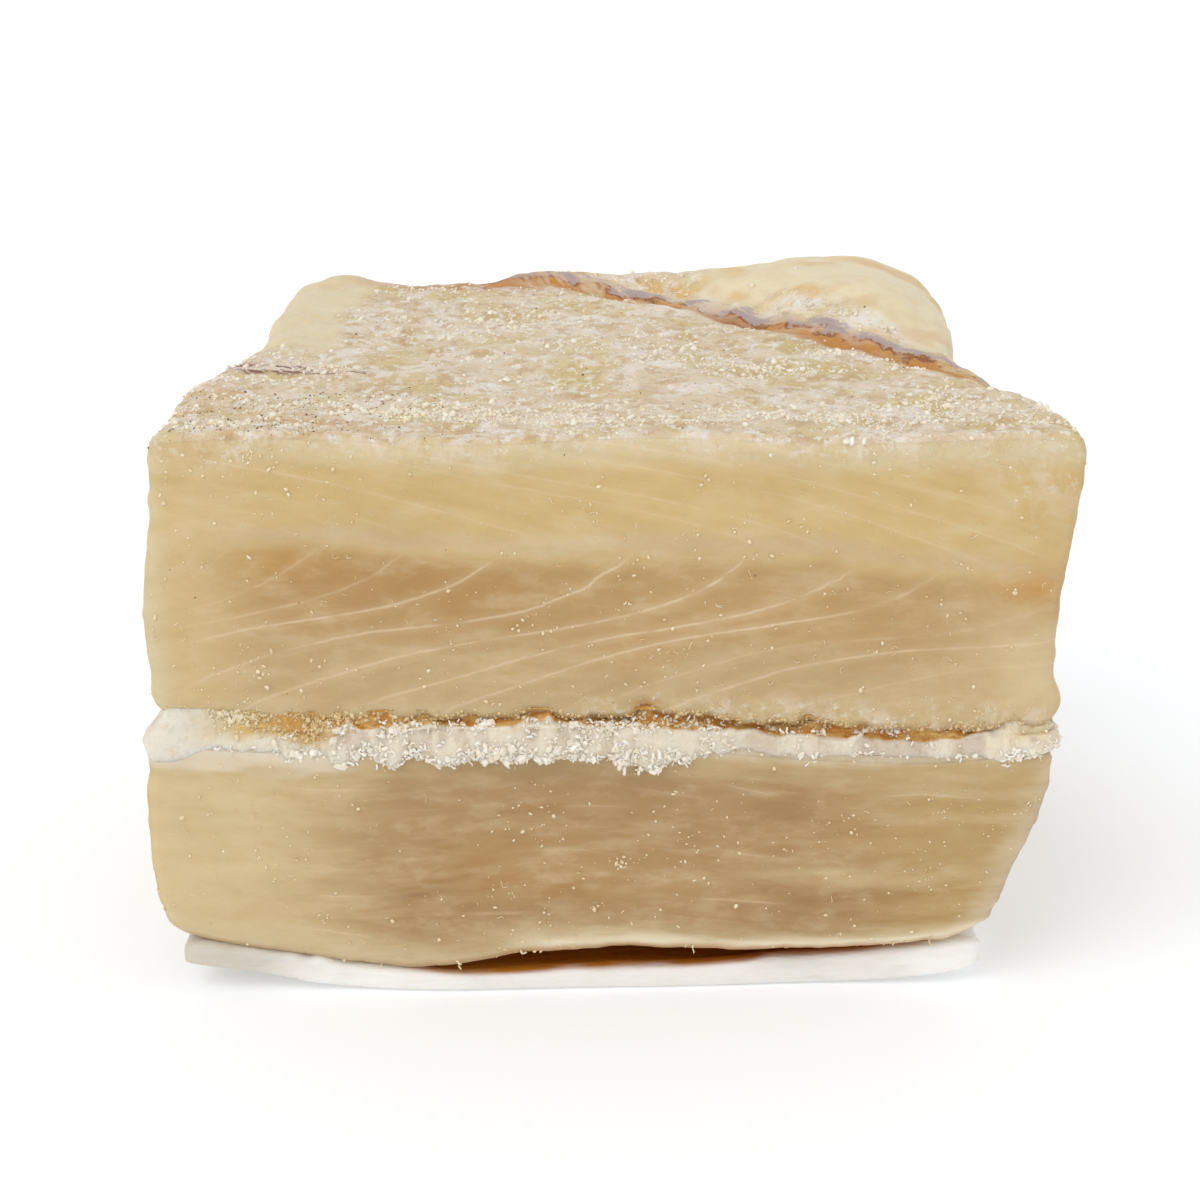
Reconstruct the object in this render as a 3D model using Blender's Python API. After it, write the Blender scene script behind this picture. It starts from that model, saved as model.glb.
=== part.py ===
"""Salted dried cod: two thick loin slabs stacked and bonded by a seam of salt, on a sheet of skin.

The block is cut flush at the front.  Its front face looks along -Y, +Z is up, and the origin is the
centre of the bounding box's base.  Sizes below are in millimetres and are scaled to metres at the end.
"""
import math

import bmesh
import bpy
from mathutils import Vector

MILLIMETRE = 0.001
COLLECTION_NAME = "salted_dried_cod"
TOUCHING_GAP = 0.3

# Plan of the block: the cut front, the back, and how far the sides lean in towards the back.
FRONT_Y = -46.5
BACK_Y = 48.5
DEPTH = BACK_Y - FRONT_Y
SAW_WAVE = 0.5
BACK_WAVE = 1.1
SIDE_WAVE = 0.9

# Heights of the layers at the front.
SKIN_THICKNESS = 2.6
LOWER_TOP_Z = 35.4
SEAM_THICKNESS = 3.4
UPPER_TOP_FRONT_Z = 78.3
UPPER_TOP_BACK_Z = 81.3

# Half-profiles of the sides, as (height above the base, distance from the centre line).
UPPER_LEFT_SIDE = [(39, 61.4), (45, 62.5), (55, 62.5), (64, 61.4), (73, 60.9), (80, 60.8)]
UPPER_RIGHT_SIDE = [(38, 59.2), (44, 58.1), (53, 58.9), (62, 60.2), (72, 61.5), (80, 61.6)]
LOWER_LEFT_SIDE = [(5, 61.9), (10, 63.1), (20, 63.2), (29, 63.0), (37, 62.6)]
LOWER_RIGHT_SIDE = [(6, 51.4), (12, 52.9), (19, 55.7), (26, 58.1), (32, 59.2), (37, 60.2)]

# How far the sides of each layer lean in, as (distance behind the front, inset).
UPPER_LEFT_INSET = [(0, 0.0), (10, 0.3), (20, 1.5), (30, 2.6), (40, 5.0), (47, 8.2), (70, 8.6), (95, 9.4)]
UPPER_RIGHT_INSET = [(0, 0.0), (8, 1.4), (17, 3.2), (27, 6.6), (36, 9.4), (46, 11.2), (72, 10.0), (95, 12.0)]
LOWER_LEFT_INSET = [(0, 0.0), (30, 1.2), (60, 4.0), (95, 7.0)]
LOWER_RIGHT_INSET = [(0, 0.0), (25, 1.5), (55, 4.6), (95, 8.4)]

# Seam of salt: its plan edges, and the crevice that it leaves under the upper slab.
SEAM_LEFT = 61.0
SEAM_RIGHT = 61.2
SEAM_CREVICE = 2.4
SEAM_LIP = 0.4

# Where the two slabs part: their shared level, as (distance from the centre line, height offset).
SEAM_LEVEL = [(-60, 0.9), (-42, 0.3), (-15, 0.9), (5, 0.6), (25, -0.6), (46, -1.0), (60, 1.4)]
SEAM_SWELL = 0.8

# Skin: a wavy sheet whose ends lift off the ground, flat between the two lifts.
SKIN_LEFT = 59.4
SKIN_RIGHT = 51.4
SKIN_FLAT_LEFT = -36.0
SKIN_FLAT_RIGHT = 26.0
SKIN_LIFT_LEFT = 4.0
SKIN_LIFT_RIGHT = 2.6
SKIN_THICK_LEFT = 1.5
SKIN_THICK_RIGHT = 1.3
SKIN_SETBACK = 2.0

# Arch that opens between the lower slab and the skin along the front.
ARCH_HEIGHT = 3.6
ARCH_LEFT = -25.0
ARCH_RIGHT = 52.0
ARCH_PEAK = 0.18
ARCH_DEPTH = 22.0

# Fold of flesh across the back right corner of the top, rising behind a diagonal crease.
CREASE = [(-34, 48.0), (-16, 43.0), (2, 40.5), (12, 35.0), (20, 22.5), (32, 8.5), (53, -20.0)]
CREASE_SLANT = 0.78
FOLD_HEIGHT = 3.2
FOLD_RUN = 6.5
FOLD_FRONT_Y = -10.0
LUMP_HEIGHT = 2.4
LUMP_LEFT_X = 19.0
LUMP_FRONT_Y = 2.0
LUMP_RUN = 12.0
FOLD_SIDE_X = 52.0
CREASE_DEPTH = 0.9
CREASE_WIDTH = 4.0

# Small knob on the back left corner of the top.
KNOB_CENTRE = Vector((-42.0, 43.0))
KNOB_HEIGHT = 1.7
KNOB_RADIUS = 8.0
TOP_WAVE = 0.45

# Edge roundings.
UPPER_ROUNDING = 2.8
LOWER_ROUNDING = 2.8
SEAM_ROUNDING = 1.2
SKIN_ROUNDING = 1.1

# Grid of every layer: faces across, deep and high, and how strongly they crowd to the edges.
FACES_ACROSS = 24
FACES_DEEP = 17
EDGE_CROWDING = 0.9

FLESH_UPPER = ("cod_flesh_upper", (0.66, 0.52, 0.27), 0.42)
FLESH_LOWER = ("cod_flesh_lower", (0.54, 0.38, 0.19), 0.45)
SALT = ("sea_salt", (0.80, 0.76, 0.68), 0.6)
SKIN = ("cod_skin", (0.74, 0.71, 0.62), 0.5)


def blend(share):
    """Smooth step from 0 to 1."""
    share = max(0.0, min(1.0, share))
    return share * share * (3.0 - 2.0 * share)


def along(points, place):
    """Smooth curve through a few (place, value) points, held level past its ends."""
    if place <= points[0][0]:
        return points[0][1]
    if place >= points[-1][0]:
        return points[-1][1]
    step = next(i for i in range(1, len(points)) if place <= points[i][0])
    ends = points[max(step - 2, 0)], points[step - 1], points[step], points[min(step + 1, len(points) - 1)]
    before, low, high, after = ends
    width = high[0] - low[0]
    share = (place - low[0]) / width
    low_slope = (high[1] - before[1]) / (high[0] - before[0]) * width
    high_slope = (after[1] - low[1]) / (after[0] - low[0]) * width
    lift = high[1] - low[1]
    bend = share * (1.0 - share) * ((low_slope - lift) * (1.0 - share) + (lift - high_slope) * share)
    return low[1] + lift * share + bend


def wave(first, second, length, phase=0.0):
    """Gentle unevenness between about -1 and 1, with hills about one length apart."""
    turn = 2.0 * math.pi / length
    broad = math.sin(turn * first + 1.3 * math.sin(0.7 * turn * second + phase) + phase)
    fine = math.sin(1.9 * turn * second - 0.8 * turn * first + 2.1 * phase)
    return 0.65 * broad + 0.35 * fine


# ---------------------------------------------------------------- surfaces between the layers

def skin_underside(x, y):
    """Level with the ground in the middle, curling up at both ends."""
    left = max(0.0, SKIN_FLAT_LEFT - x) / (SKIN_LEFT + SKIN_FLAT_LEFT)
    right = max(0.0, x - SKIN_FLAT_RIGHT) / (SKIN_RIGHT - SKIN_FLAT_RIGHT)
    return SKIN_LIFT_LEFT * left ** 2 + SKIN_LIFT_RIGHT * right ** 2


def skin_top(x, y):
    left = blend((SKIN_FLAT_LEFT + 18.0 - x) / 30.0)
    right = blend((x - SKIN_FLAT_RIGHT + 18.0) / 36.0)
    thickness = SKIN_THICKNESS + SKIN_THICK_LEFT * left + SKIN_THICK_RIGHT * right
    return skin_underside(x, y) + thickness + 0.2 * wave(x, y, 31.0, 0.4)


def lower_bottom(x, y):
    """Rests on the skin, except where the arch opens along the front."""
    share = (x - ARCH_LEFT) / (ARCH_RIGHT - ARCH_LEFT)
    arch = blend(share / ARCH_PEAK) * blend((1.0 - share) / (1.0 - ARCH_PEAK))
    fade = blend(1.0 - (y - FRONT_Y) / ARCH_DEPTH)
    return skin_top(x, y) + TOUCHING_GAP + ARCH_HEIGHT * arch * fade


def lower_top(x, y):
    swell = SEAM_SWELL * wave(x, y, 57.0, 1.9) * blend((y - FRONT_Y) / 30.0)
    return LOWER_TOP_Z + along(SEAM_LEVEL, x) + swell


def upper_bottom(x, y):
    uneven = 1.0 + 0.12 * wave(y, x, 38.0, 2.6)
    return lower_top(x, y) + TOUCHING_GAP * 2.0 + SEAM_THICKNESS * uneven


def fold_height(x, y):
    """Height of the fold above the top face, less the crease in front of it."""
    behind = (y - along(CREASE, x)) * CREASE_SLANT
    rise = blend(behind / FOLD_RUN) * blend((FOLD_SIDE_X - x) / LUMP_RUN)
    fold = FOLD_HEIGHT * blend((y - FOLD_FRONT_Y) / LUMP_RUN / 2.0)
    lump = LUMP_HEIGHT * blend((x - LUMP_LEFT_X) / LUMP_RUN) * blend((y - LUMP_FRONT_Y) / LUMP_RUN / 1.5)
    groove = math.exp(-(behind / CREASE_WIDTH) ** 2) * blend((x - CREASE[0][0]) / 30.0)
    return (fold + lump) * rise - CREASE_DEPTH * groove


def upper_top(x, y):
    slope = UPPER_TOP_FRONT_Z + (UPPER_TOP_BACK_Z - UPPER_TOP_FRONT_Z) * blend((y - FRONT_Y) / 80.0)
    knob = KNOB_HEIGHT * math.exp(-((Vector((x, y)) - KNOB_CENTRE).length / KNOB_RADIUS) ** 2)
    return slope + knob + fold_height(x, y) + TOP_WAVE * wave(x, y, 44.0, 0.7)


# ---------------------------------------------------------------- edges of the layers in plan

def front_edge(x, height):
    """The cut face, nearly flat."""
    return FRONT_Y + SAW_WAVE * wave(x, height, 70.0, 1.1)


def back_edge(x, height):
    return BACK_Y + BACK_WAVE * wave(x, height, 46.0, 2.9)


def side_edges(left_side, left_inset, right_side, right_inset, phase):
    """Left and right edges of a slab from its side profiles and their insets."""
    def left(y, height):
        depth = y - FRONT_Y
        uneven = SIDE_WAVE * wave(y, height, 41.0, phase) * blend(depth / 20.0)
        return along(left_inset, depth) - along(left_side, height) + uneven

    def right(y, height):
        depth = y - FRONT_Y
        uneven = SIDE_WAVE * wave(y, height, 37.0, phase + 1.7) * blend(depth / 20.0)
        return along(right_side, height) - along(right_inset, depth) + uneven

    return left, right


def upper_slab():
    left, right = side_edges(UPPER_LEFT_SIDE, UPPER_LEFT_INSET, UPPER_RIGHT_SIDE, UPPER_RIGHT_INSET, 0.2)
    return {"left": left, "right": right, "front": front_edge, "back": back_edge,
            "bottom": upper_bottom, "top": upper_top, "rounding": UPPER_ROUNDING, "faces_high": 8}


def lower_slab():
    left, right = side_edges(LOWER_LEFT_SIDE, LOWER_LEFT_INSET, LOWER_RIGHT_SIDE, LOWER_RIGHT_INSET, 3.3)
    return {"left": left, "right": right,
            "front": lambda x, height: front_edge(x, height) - 0.4,
            "back": lambda x, height: back_edge(x, height) - 0.9,
            "bottom": lower_bottom, "top": lower_top, "rounding": LOWER_ROUNDING, "faces_high": 7}


def salt_seam():
    """Thin bed of salt: a lip over the lower slab, set back under the upper one."""
    def front(x, height):
        crevice = SEAM_CREVICE * blend((height - LOWER_TOP_Z - along(SEAM_LEVEL, x)) / SEAM_THICKNESS - 0.3)
        return front_edge(x, height) - SEAM_LIP + crevice + 0.5 * wave(x, 0.0, 17.0, 0.9)

    def left(y, height):
        return -SEAM_LEFT + along(LOWER_LEFT_INSET, y - FRONT_Y) + 1.0 + 0.7 * wave(y, 0.0, 19.0, 0.1)

    def right(y, height):
        return SEAM_RIGHT - along(LOWER_RIGHT_INSET, y - FRONT_Y) - 0.6 + 0.7 * wave(y, 0.0, 23.0, 1.4)

    return {"left": left, "right": right, "front": front,
            "back": lambda x, height: BACK_Y - 2.2 + 0.7 * wave(x, 0.0, 21.0, 2.2),
            "bottom": lambda x, y: lower_top(x, y) + TOUCHING_GAP,
            "top": lambda x, y: upper_bottom(x, y) - TOUCHING_GAP,
            "rounding": SEAM_ROUNDING, "faces_high": 3}


def skin_sheet():
    def left(y, height):
        return -SKIN_LEFT + 0.8 * along(LOWER_LEFT_INSET, y - FRONT_Y) + 0.9 * wave(y, 0.0, 33.0, 2.7)

    def right(y, height):
        return SKIN_RIGHT - 0.6 * along(LOWER_RIGHT_INSET, y - FRONT_Y) + 0.9 * wave(y, 0.0, 29.0, 0.6)

    def front(x, height):
        return FRONT_Y + SKIN_SETBACK * blend((x + 25.0) / 60.0) + 0.4 * wave(x, 0.0, 36.0, 1.5)

    return {"left": left, "right": right, "front": front,
            "back": lambda x, height: BACK_Y - 1.6 + 0.8 * wave(x, 0.0, 27.0, 0.3),
            "bottom": skin_underside, "top": skin_top, "rounding": SKIN_ROUNDING, "faces_high": 2}


# ---------------------------------------------------------------- making the solids

def grid_lines(count):
    """Places of the cuts from -1 to 1 across a cube of side 2, closer together at both ends."""
    turn = EDGE_CROWDING * math.pi / 2.0
    return [math.sin(turn * (2.0 * step / count - 1.0)) / math.sin(turn) for step in range(1, count)]


def gridded_cube(faces):
    """Cube from -1 to 1 cut into a grid of faces along each axis."""
    cube = bmesh.new()
    bmesh.ops.create_cube(cube, size=2.0)
    for axis, count in enumerate(faces):
        normal = Vector((0.0, 0.0, 0.0))
        normal[axis] = 1.0
        for place in grid_lines(count):
            everything = cube.verts[:] + cube.edges[:] + cube.faces[:]
            bmesh.ops.bisect_plane(cube, geom=everything, dist=1e-6, plane_co=normal * place, plane_no=normal)
    return cube


def rounded(place, half, radius):
    """Point of the unit cube moved onto a box of the given half sizes with rounded edges, then scaled back."""
    radii = [min(radius, size * 0.95) for size in half]
    core = Vector([max(r - size, min(size - r, share * size)) for share, size, r in zip(place, half, radii)])
    reach = Vector([(share * size - middle) / r for share, size, middle, r in zip(place, half, core, radii)])
    if reach.length > 1.0:
        reach.normalize()
    return Vector([(middle + step * r) / size for middle, step, r, size in zip(core, reach, radii, half)])


def shaped(place, layer, half, middle_z):
    """World place in millimetres of one point of the unit cube, for a layer of the block."""
    share = (rounded(place, half, layer["rounding"]) + Vector((1.0, 1.0, 1.0))) / 2.0
    y = FRONT_Y + DEPTH * share.y
    rough_z = middle_z + half.z * (2.0 * share.z - 1.0)
    left = layer["left"](y, rough_z)
    right = layer["right"](y, rough_z)
    x = left + (right - left) * share.x
    front = layer["front"](x, rough_z)
    back = layer["back"](x, rough_z)
    y = front + (back - front) * share.y
    bottom = layer["bottom"](x, y)
    top = layer["top"](x, y)
    return Vector((x, y, bottom + (top - bottom) * share.z))


def layer_mesh(name, layer):
    """Solid of one layer, in millimetres."""
    bottom = layer["bottom"](0.0, 0.0)
    top = layer["top"](0.0, 0.0)
    half = Vector((60.0, DEPTH / 2.0, (top - bottom) / 2.0))
    solid = gridded_cube((FACES_ACROSS, FACES_DEEP, layer["faces_high"]))
    for vertex in solid.verts:
        vertex.co = shaped(vertex.co, layer, half, (bottom + top) / 2.0)
    bmesh.ops.recalc_face_normals(solid, faces=solid.faces)
    mesh = bpy.data.meshes.new(name)
    solid.to_mesh(mesh)
    solid.free()
    mesh.shade_smooth()
    return mesh


def principled(name, colour, roughness):
    material = bpy.data.materials.new(name)
    material.use_nodes = True
    shader = material.node_tree.nodes["Principled BSDF"]
    shader.inputs["Base Color"].default_value = (*colour, 1.0)
    shader.inputs["Roughness"].default_value = roughness
    shader.inputs["Metallic"].default_value = 0.0
    return material


def centred(meshes):
    """Move all the meshes together so that the box round them stands on the origin, then scale to metres."""
    points = [vertex.co for mesh in meshes for vertex in mesh.vertices]
    low = Vector([min(point[axis] for point in points) for axis in range(3)])
    high = Vector([max(point[axis] for point in points) for axis in range(3)])
    base = Vector(((low.x + high.x) / 2.0, (low.y + high.y) / 2.0, low.z))
    for mesh in meshes:
        for vertex in mesh.vertices:
            vertex.co = (vertex.co - base) * MILLIMETRE


def clear_scene():
    for item in list(bpy.data.objects):
        bpy.data.objects.remove(item, do_unlink=True)


def main():
    clear_scene()
    collection = bpy.data.collections.new(COLLECTION_NAME)
    bpy.context.scene.collection.children.link(collection)
    layers = [("skin", skin_sheet(), SKIN),
              ("lower_loin", lower_slab(), FLESH_LOWER),
              ("salt_seam", salt_seam(), SALT),
              ("upper_loin", upper_slab(), FLESH_UPPER)]
    meshes = []
    for name, layer, finish in layers:
        mesh = layer_mesh(name, layer)
        mesh.materials.append(principled(*finish))
        collection.objects.link(bpy.data.objects.new(name, mesh))
        meshes.append(mesh)
    centred(meshes)


main()
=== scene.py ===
"""The looks of a block of salted dried cod: two waxy loin slabs, a crust of salt between them, white
skin beneath, and the salt grains, crystals, specks and shreds on them.

Lengths are in millimetres until a mesh is made.  The block stands on its skin with +Z up, its cut front
faces -Y, and the origin is the centre of its base.
"""
import math

import bpy
import numpy as np
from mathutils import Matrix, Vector
from mathutils.bvhtree import BVHTree


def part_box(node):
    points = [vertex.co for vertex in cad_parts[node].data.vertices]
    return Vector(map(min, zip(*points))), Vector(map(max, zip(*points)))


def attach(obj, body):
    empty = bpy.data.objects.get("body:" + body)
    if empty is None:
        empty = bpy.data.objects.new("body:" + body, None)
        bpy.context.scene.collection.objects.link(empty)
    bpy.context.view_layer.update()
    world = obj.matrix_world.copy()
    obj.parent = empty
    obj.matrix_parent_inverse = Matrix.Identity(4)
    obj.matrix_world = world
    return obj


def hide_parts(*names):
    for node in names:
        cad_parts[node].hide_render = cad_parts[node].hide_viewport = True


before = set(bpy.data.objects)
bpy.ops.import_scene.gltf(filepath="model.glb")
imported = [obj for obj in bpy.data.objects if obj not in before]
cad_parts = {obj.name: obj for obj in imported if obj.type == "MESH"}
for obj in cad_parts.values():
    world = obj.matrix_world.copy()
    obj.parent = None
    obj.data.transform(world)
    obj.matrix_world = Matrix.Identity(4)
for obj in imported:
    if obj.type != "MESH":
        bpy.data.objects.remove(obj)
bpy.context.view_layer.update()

MILLIMETRE = 0.001


# ---------------------------------------------------------------- numbers, curves and noise

def smooth(low, high, value):
    """Smooth step: 0 at low, 1 at high."""
    share = np.clip((value - low) / (high - low), 0.0, 1.0)
    return share * share * (3.0 - 2.0 * share)


def bell(value, centre, width):
    """Bell curve: 1 at the centre, about a third one width away."""
    return np.exp(-((value - centre) / width) ** 2)


def mix(first, second, share):
    """Blend two colours, or arrays of colours, by an array of shares."""
    share = np.clip(share, 0.0, 1.0)[..., None]
    return np.asarray(first) * (1.0 - share) + np.asarray(second) * share


def painted(colour, *coats):
    """Colour under coats laid one after another, each a colour and its share."""
    for coat, share in coats:
        colour = mix(colour, coat, share)
    return colour


def through(points, place):
    """Smooth curve through a few (place, value) points, held level past its ends."""
    places, values = np.array(points, float).T
    slopes = np.gradient(values, places)
    place = np.clip(place, places[0], places[-1])
    step = np.clip(np.searchsorted(places, place, side="right") - 1, 0, len(places) - 2)
    width = places[step + 1] - places[step]
    share = (place - places[step]) / width
    lift = values[step + 1] - values[step]
    early, late = slopes[step] * width - lift, lift - slopes[step + 1] * width
    return values[step] + lift * share + share * (1.0 - share) * (early * (1.0 - share) + late * share)


def hashed(cells, seed):
    """Steady value between 0 and 1 for each whole-number cell."""
    x, y, z = np.moveaxis(cells, -1, 0)
    code = (x * 73856093) ^ (y * 19349663) ^ (z * 83492791) ^ (seed * 668265263)
    code = ((code ^ (code >> 15)) * 2246822519) & 0xFFFFFFFF
    code = ((code ^ (code >> 13)) * 3266489917) & 0xFFFFFFFF
    return (code ^ (code >> 16)) / 0xFFFFFFFF


def noise(points, size, seed=0):
    """Smooth noise between -1 and 1, with features about one size apart; size may differ by axis."""
    place = points / np.asarray(size, float) + 7.3 * seed
    cell = np.floor(place).astype(np.int64)
    share = place - cell
    share = share * share * (3.0 - 2.0 * share)
    total = np.zeros(len(points))
    for corner in np.ndindex(2, 2, 2):
        weight = np.where(corner, share, 1.0 - share).prod(axis=1)
        total += weight * hashed(cell + corner, seed)
    return 2.0 * total - 1.0


def layered(points, size, seed=0, layers=3):
    """Noise with ever finer layers added."""
    total = np.zeros(len(points))
    for layer in range(layers):
        total += noise(points, np.asarray(size, float) / 2.0 ** layer, seed + 31 * layer) / 2.0 ** layer
    return total / 1.5


def tone(red, green, blue):
    """Linear colour of an 8-bit one."""
    share = np.array([red, green, blue]) / 255.0
    return np.where(share <= 0.04045, share / 12.92, ((share + 0.055) / 1.055) ** 2.4)


# ---------------------------------------------------------------- the CAD layers, sampled

# How far from a layer's corners its sides are sampled, and how far apart the samples are.
CORNER_MARGIN = 3.8
SAMPLE_STEP = 2.5
# Shares of a layer's height between which its upright sides are sampled, and in how many rows.
WALL_LOW, WALL_HIGH, WALL_ROWS = 0.1, 0.9, 13
# How squarely a ray has to meet a level or an upright side to count as a sample of it.
LEVEL_SQUARE, WALL_SQUARE = 0.75, 0.7
FAR_AWAY = 200.0


def softened(grid, passes):
    """Grid of samples smoothed along both its directions."""
    for _ in range(passes):
        padded = np.pad(grid, 1, mode="edge")
        grid = (padded[:-2, 1:-1] + 2.0 * grid + padded[2:, 1:-1]) / 4.0
        padded = np.pad(grid, 1, mode="edge")
        grid = (padded[1:-1, :-2] + 2.0 * grid + padded[1:-1, 2:]) / 4.0
    return grid


def filled(grid):
    """Grid with its missing samples spread in from their neighbours."""
    while np.isnan(grid).any():
        padded = np.pad(grid, 1, constant_values=np.nan)
        around = np.stack([padded[:-2, 1:-1], padded[2:, 1:-1], padded[1:-1, :-2], padded[1:-1, 2:]])
        known = ~np.isnan(around)
        mean = np.where(known, around, 0.0).sum(axis=0) / np.maximum(known.sum(axis=0), 1)
        grid = np.where(np.isnan(grid) & known.any(axis=0), mean, grid)
    return grid


def looked_up(grid, first, second):
    """Values of a grid at shares from 0 to 1 along both its directions."""
    rows = np.clip(first, 0.0, 1.0) * (grid.shape[0] - 1)
    columns = np.clip(second, 0.0, 1.0) * (grid.shape[1] - 1)
    row = np.minimum(rows.astype(int), grid.shape[0] - 2)
    column = np.minimum(columns.astype(int), grid.shape[1] - 2)
    a, b = rows - row, columns - column
    low = grid[row, column] * (1.0 - b) + grid[row, column + 1] * b
    high = grid[row + 1, column] * (1.0 - b) + grid[row + 1, column + 1] * b
    return low * (1.0 - a) + high * a


class Layer:
    """One CAD layer as six smooth sides, each sampled away from the layer's rounded edges."""

    def __init__(self, node, rounding_low, rounding_high):
        self.rounding = np.array([rounding_low, rounding_high])
        self.low, self.high = (np.array(corner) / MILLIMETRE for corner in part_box(node))
        self.tree = BVHTree.FromObject(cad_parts[node], bpy.context.evaluated_depsgraph_get())
        self.flat = self.high[2] - self.low[2] < 3.0 * CORNER_MARGIN
        self.sides = {name: self.level(sign) for name, sign in (("bottom", 1.0), ("top", -1.0))}
        for name, axis, sign in (("left", 0, 1.0), ("right", 0, -1.0), ("front", 1, 1.0), ("back", 1, -1.0)):
            self.sides[name] = self.wall(axis, sign)

    def cast(self, place, axis, sign):
        """Where a ray along an axis first meets the layer, and how squarely, or nothing."""
        start, direction = np.array(place, float), np.zeros(3)
        start[axis] = -FAR_AWAY * sign
        direction[axis] = sign
        hit, normal, _, _ = self.tree.ray_cast(Vector(start * MILLIMETRE), Vector(direction))
        return (np.nan, 0.0) if hit is None else (hit[axis] / MILLIMETRE, abs(normal[axis]))

    def steps(self, axis):
        """Evenly spaced sample places along an axis, away from the corners."""
        low, high = self.low[axis] + CORNER_MARGIN, self.high[axis] - CORNER_MARGIN
        return np.linspace(low, high, int((high - low) / SAMPLE_STEP) + 1)

    def level(self, sign):
        """Heights of the top or the bottom over the plan, only where the ray meets it squarely."""
        grid = np.full((len(self.steps(0)), len(self.steps(1))), np.nan)
        for i, x in enumerate(self.steps(0)):
            for j, y in enumerate(self.steps(1)):
                height, square = self.cast((x, y, 0.0), 2, sign)
                grid[i, j] = height if square > LEVEL_SQUARE else np.nan
        return softened(filled(grid), 1)

    def wall(self, axis, sign):
        """Places of an upright side over its length and height, only where the ray meets it squarely."""
        along = self.steps(1 - axis)
        shares = [0.5, 0.5] if self.flat else np.linspace(WALL_LOW, WALL_HIGH, WALL_ROWS)
        grid = np.full((len(along), len(shares)), np.nan)
        edge = (self.low if sign > 0 else self.high)[axis] + sign * 2.0 * CORNER_MARGIN
        for i, place in enumerate(along):
            for j, share in enumerate(shares):
                x, y = (edge, place) if axis == 0 else (place, edge)
                bottom, top = self.height("bottom", x, y), self.height("top", x, y)
                hit, square = self.cast((x, y, bottom + (top - bottom) * share), axis, sign)
                grid[i, j] = hit if square > WALL_SQUARE else np.nan
        return softened(filled(grid), 2)

    def share_along(self, axis, place):
        """Share of the sampled stretch of an axis at which a place lies."""
        reach = self.high[axis] - self.low[axis] - 2.0 * CORNER_MARGIN
        return (place - self.low[axis] - CORNER_MARGIN) / reach

    def height(self, name, x, y):
        """Height of the top or the bottom over the plan."""
        across, deep = np.asarray(self.share_along(0, x)), np.asarray(self.share_along(1, y))
        return looked_up(self.sides[name], across, deep)

    def edge(self, name, place, share):
        """Place of an upright side at a distance along it and a share of the height."""
        axis = 1 if name in ("left", "right") else 0
        rise = (share - WALL_LOW) / (WALL_HIGH - WALL_LOW)
        return looked_up(self.sides[name], self.share_along(axis, place), rise)

    def at(self, share):
        """Points for shares of the layer's breadth, depth and height."""
        y = self.low[1] + (self.high[1] - self.low[1]) * share[:, 1]
        for _ in range(2):
            left, right = (self.edge(name, y, share[:, 2]) for name in ("left", "right"))
            x = left + (right - left) * share[:, 0]
            front, back = (self.edge(name, x, share[:, 2]) for name in ("front", "back"))
            y = front + (back - front) * share[:, 1]
        bottom, top = self.height("bottom", x, y), self.height("top", x, y)
        return np.stack([x, y, bottom + (top - bottom) * share[:, 2]], 1)

    def surface(self, unit):
        """Points for places on a cube from -1 to 1, with the layer's edges rounded."""
        half = (self.high - self.low) / 2.0
        radius = np.minimum(np.where(unit < 0.0, self.rounding[0], self.rounding[1]), half * 0.9)
        core = np.clip(unit * half, radius - half, half - radius)
        reach = (unit * half - core) / radius
        length = np.maximum(np.linalg.norm(reach, axis=1, keepdims=True), 1.0)
        return self.at(((core + reach / length * radius) / half + 1.0) / 2.0)

    def meshed(self, cells):
        """Fine mesh: cube places, points, outward directions, depths behind the front, faces, map places."""
        unit, faces, places = lattice(cells)
        rest = self.surface(unit)
        x, y, _ = rest.T
        depth = y - self.edge("front", x, np.full(len(x), 0.5))
        return unit, rest, normals_of(rest, faces), depth, faces, places


def nudged(points, nudges):
    """Points moved by small swellings: (across, depth, height, reach, reach in depth, sideways, upward)."""
    moved = points.copy()
    for x, y, z, reach, deep, sideways, upward in nudges:
        near = np.exp(-(((points - (x, y, z)) / (reach, deep, reach)) ** 2).sum(axis=1))
        moved[:, 0] += sideways * near
        moved[:, 2] += upward * near
    return moved


# ---------------------------------------------------------------- meshes

# Where each side of a layer lies on its texture map: left, low, width, height, and whether it is turned.
CHARTS = {
    "top": (0.005, 0.005, 0.66, 0.49, False),
    "front": (0.005, 0.505, 0.66, 0.24, False),
    "back": (0.005, 0.755, 0.66, 0.24, False),
    "left": (0.675, 0.005, 0.22, 0.49, True),
    "right": (0.675, 0.505, 0.22, 0.49, True),
    "bottom": (0.905, 0.005, 0.09, 0.99, True),
}
SIDE_NAMES = (("left", "right"), ("front", "back"), ("bottom", "top"))


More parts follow.
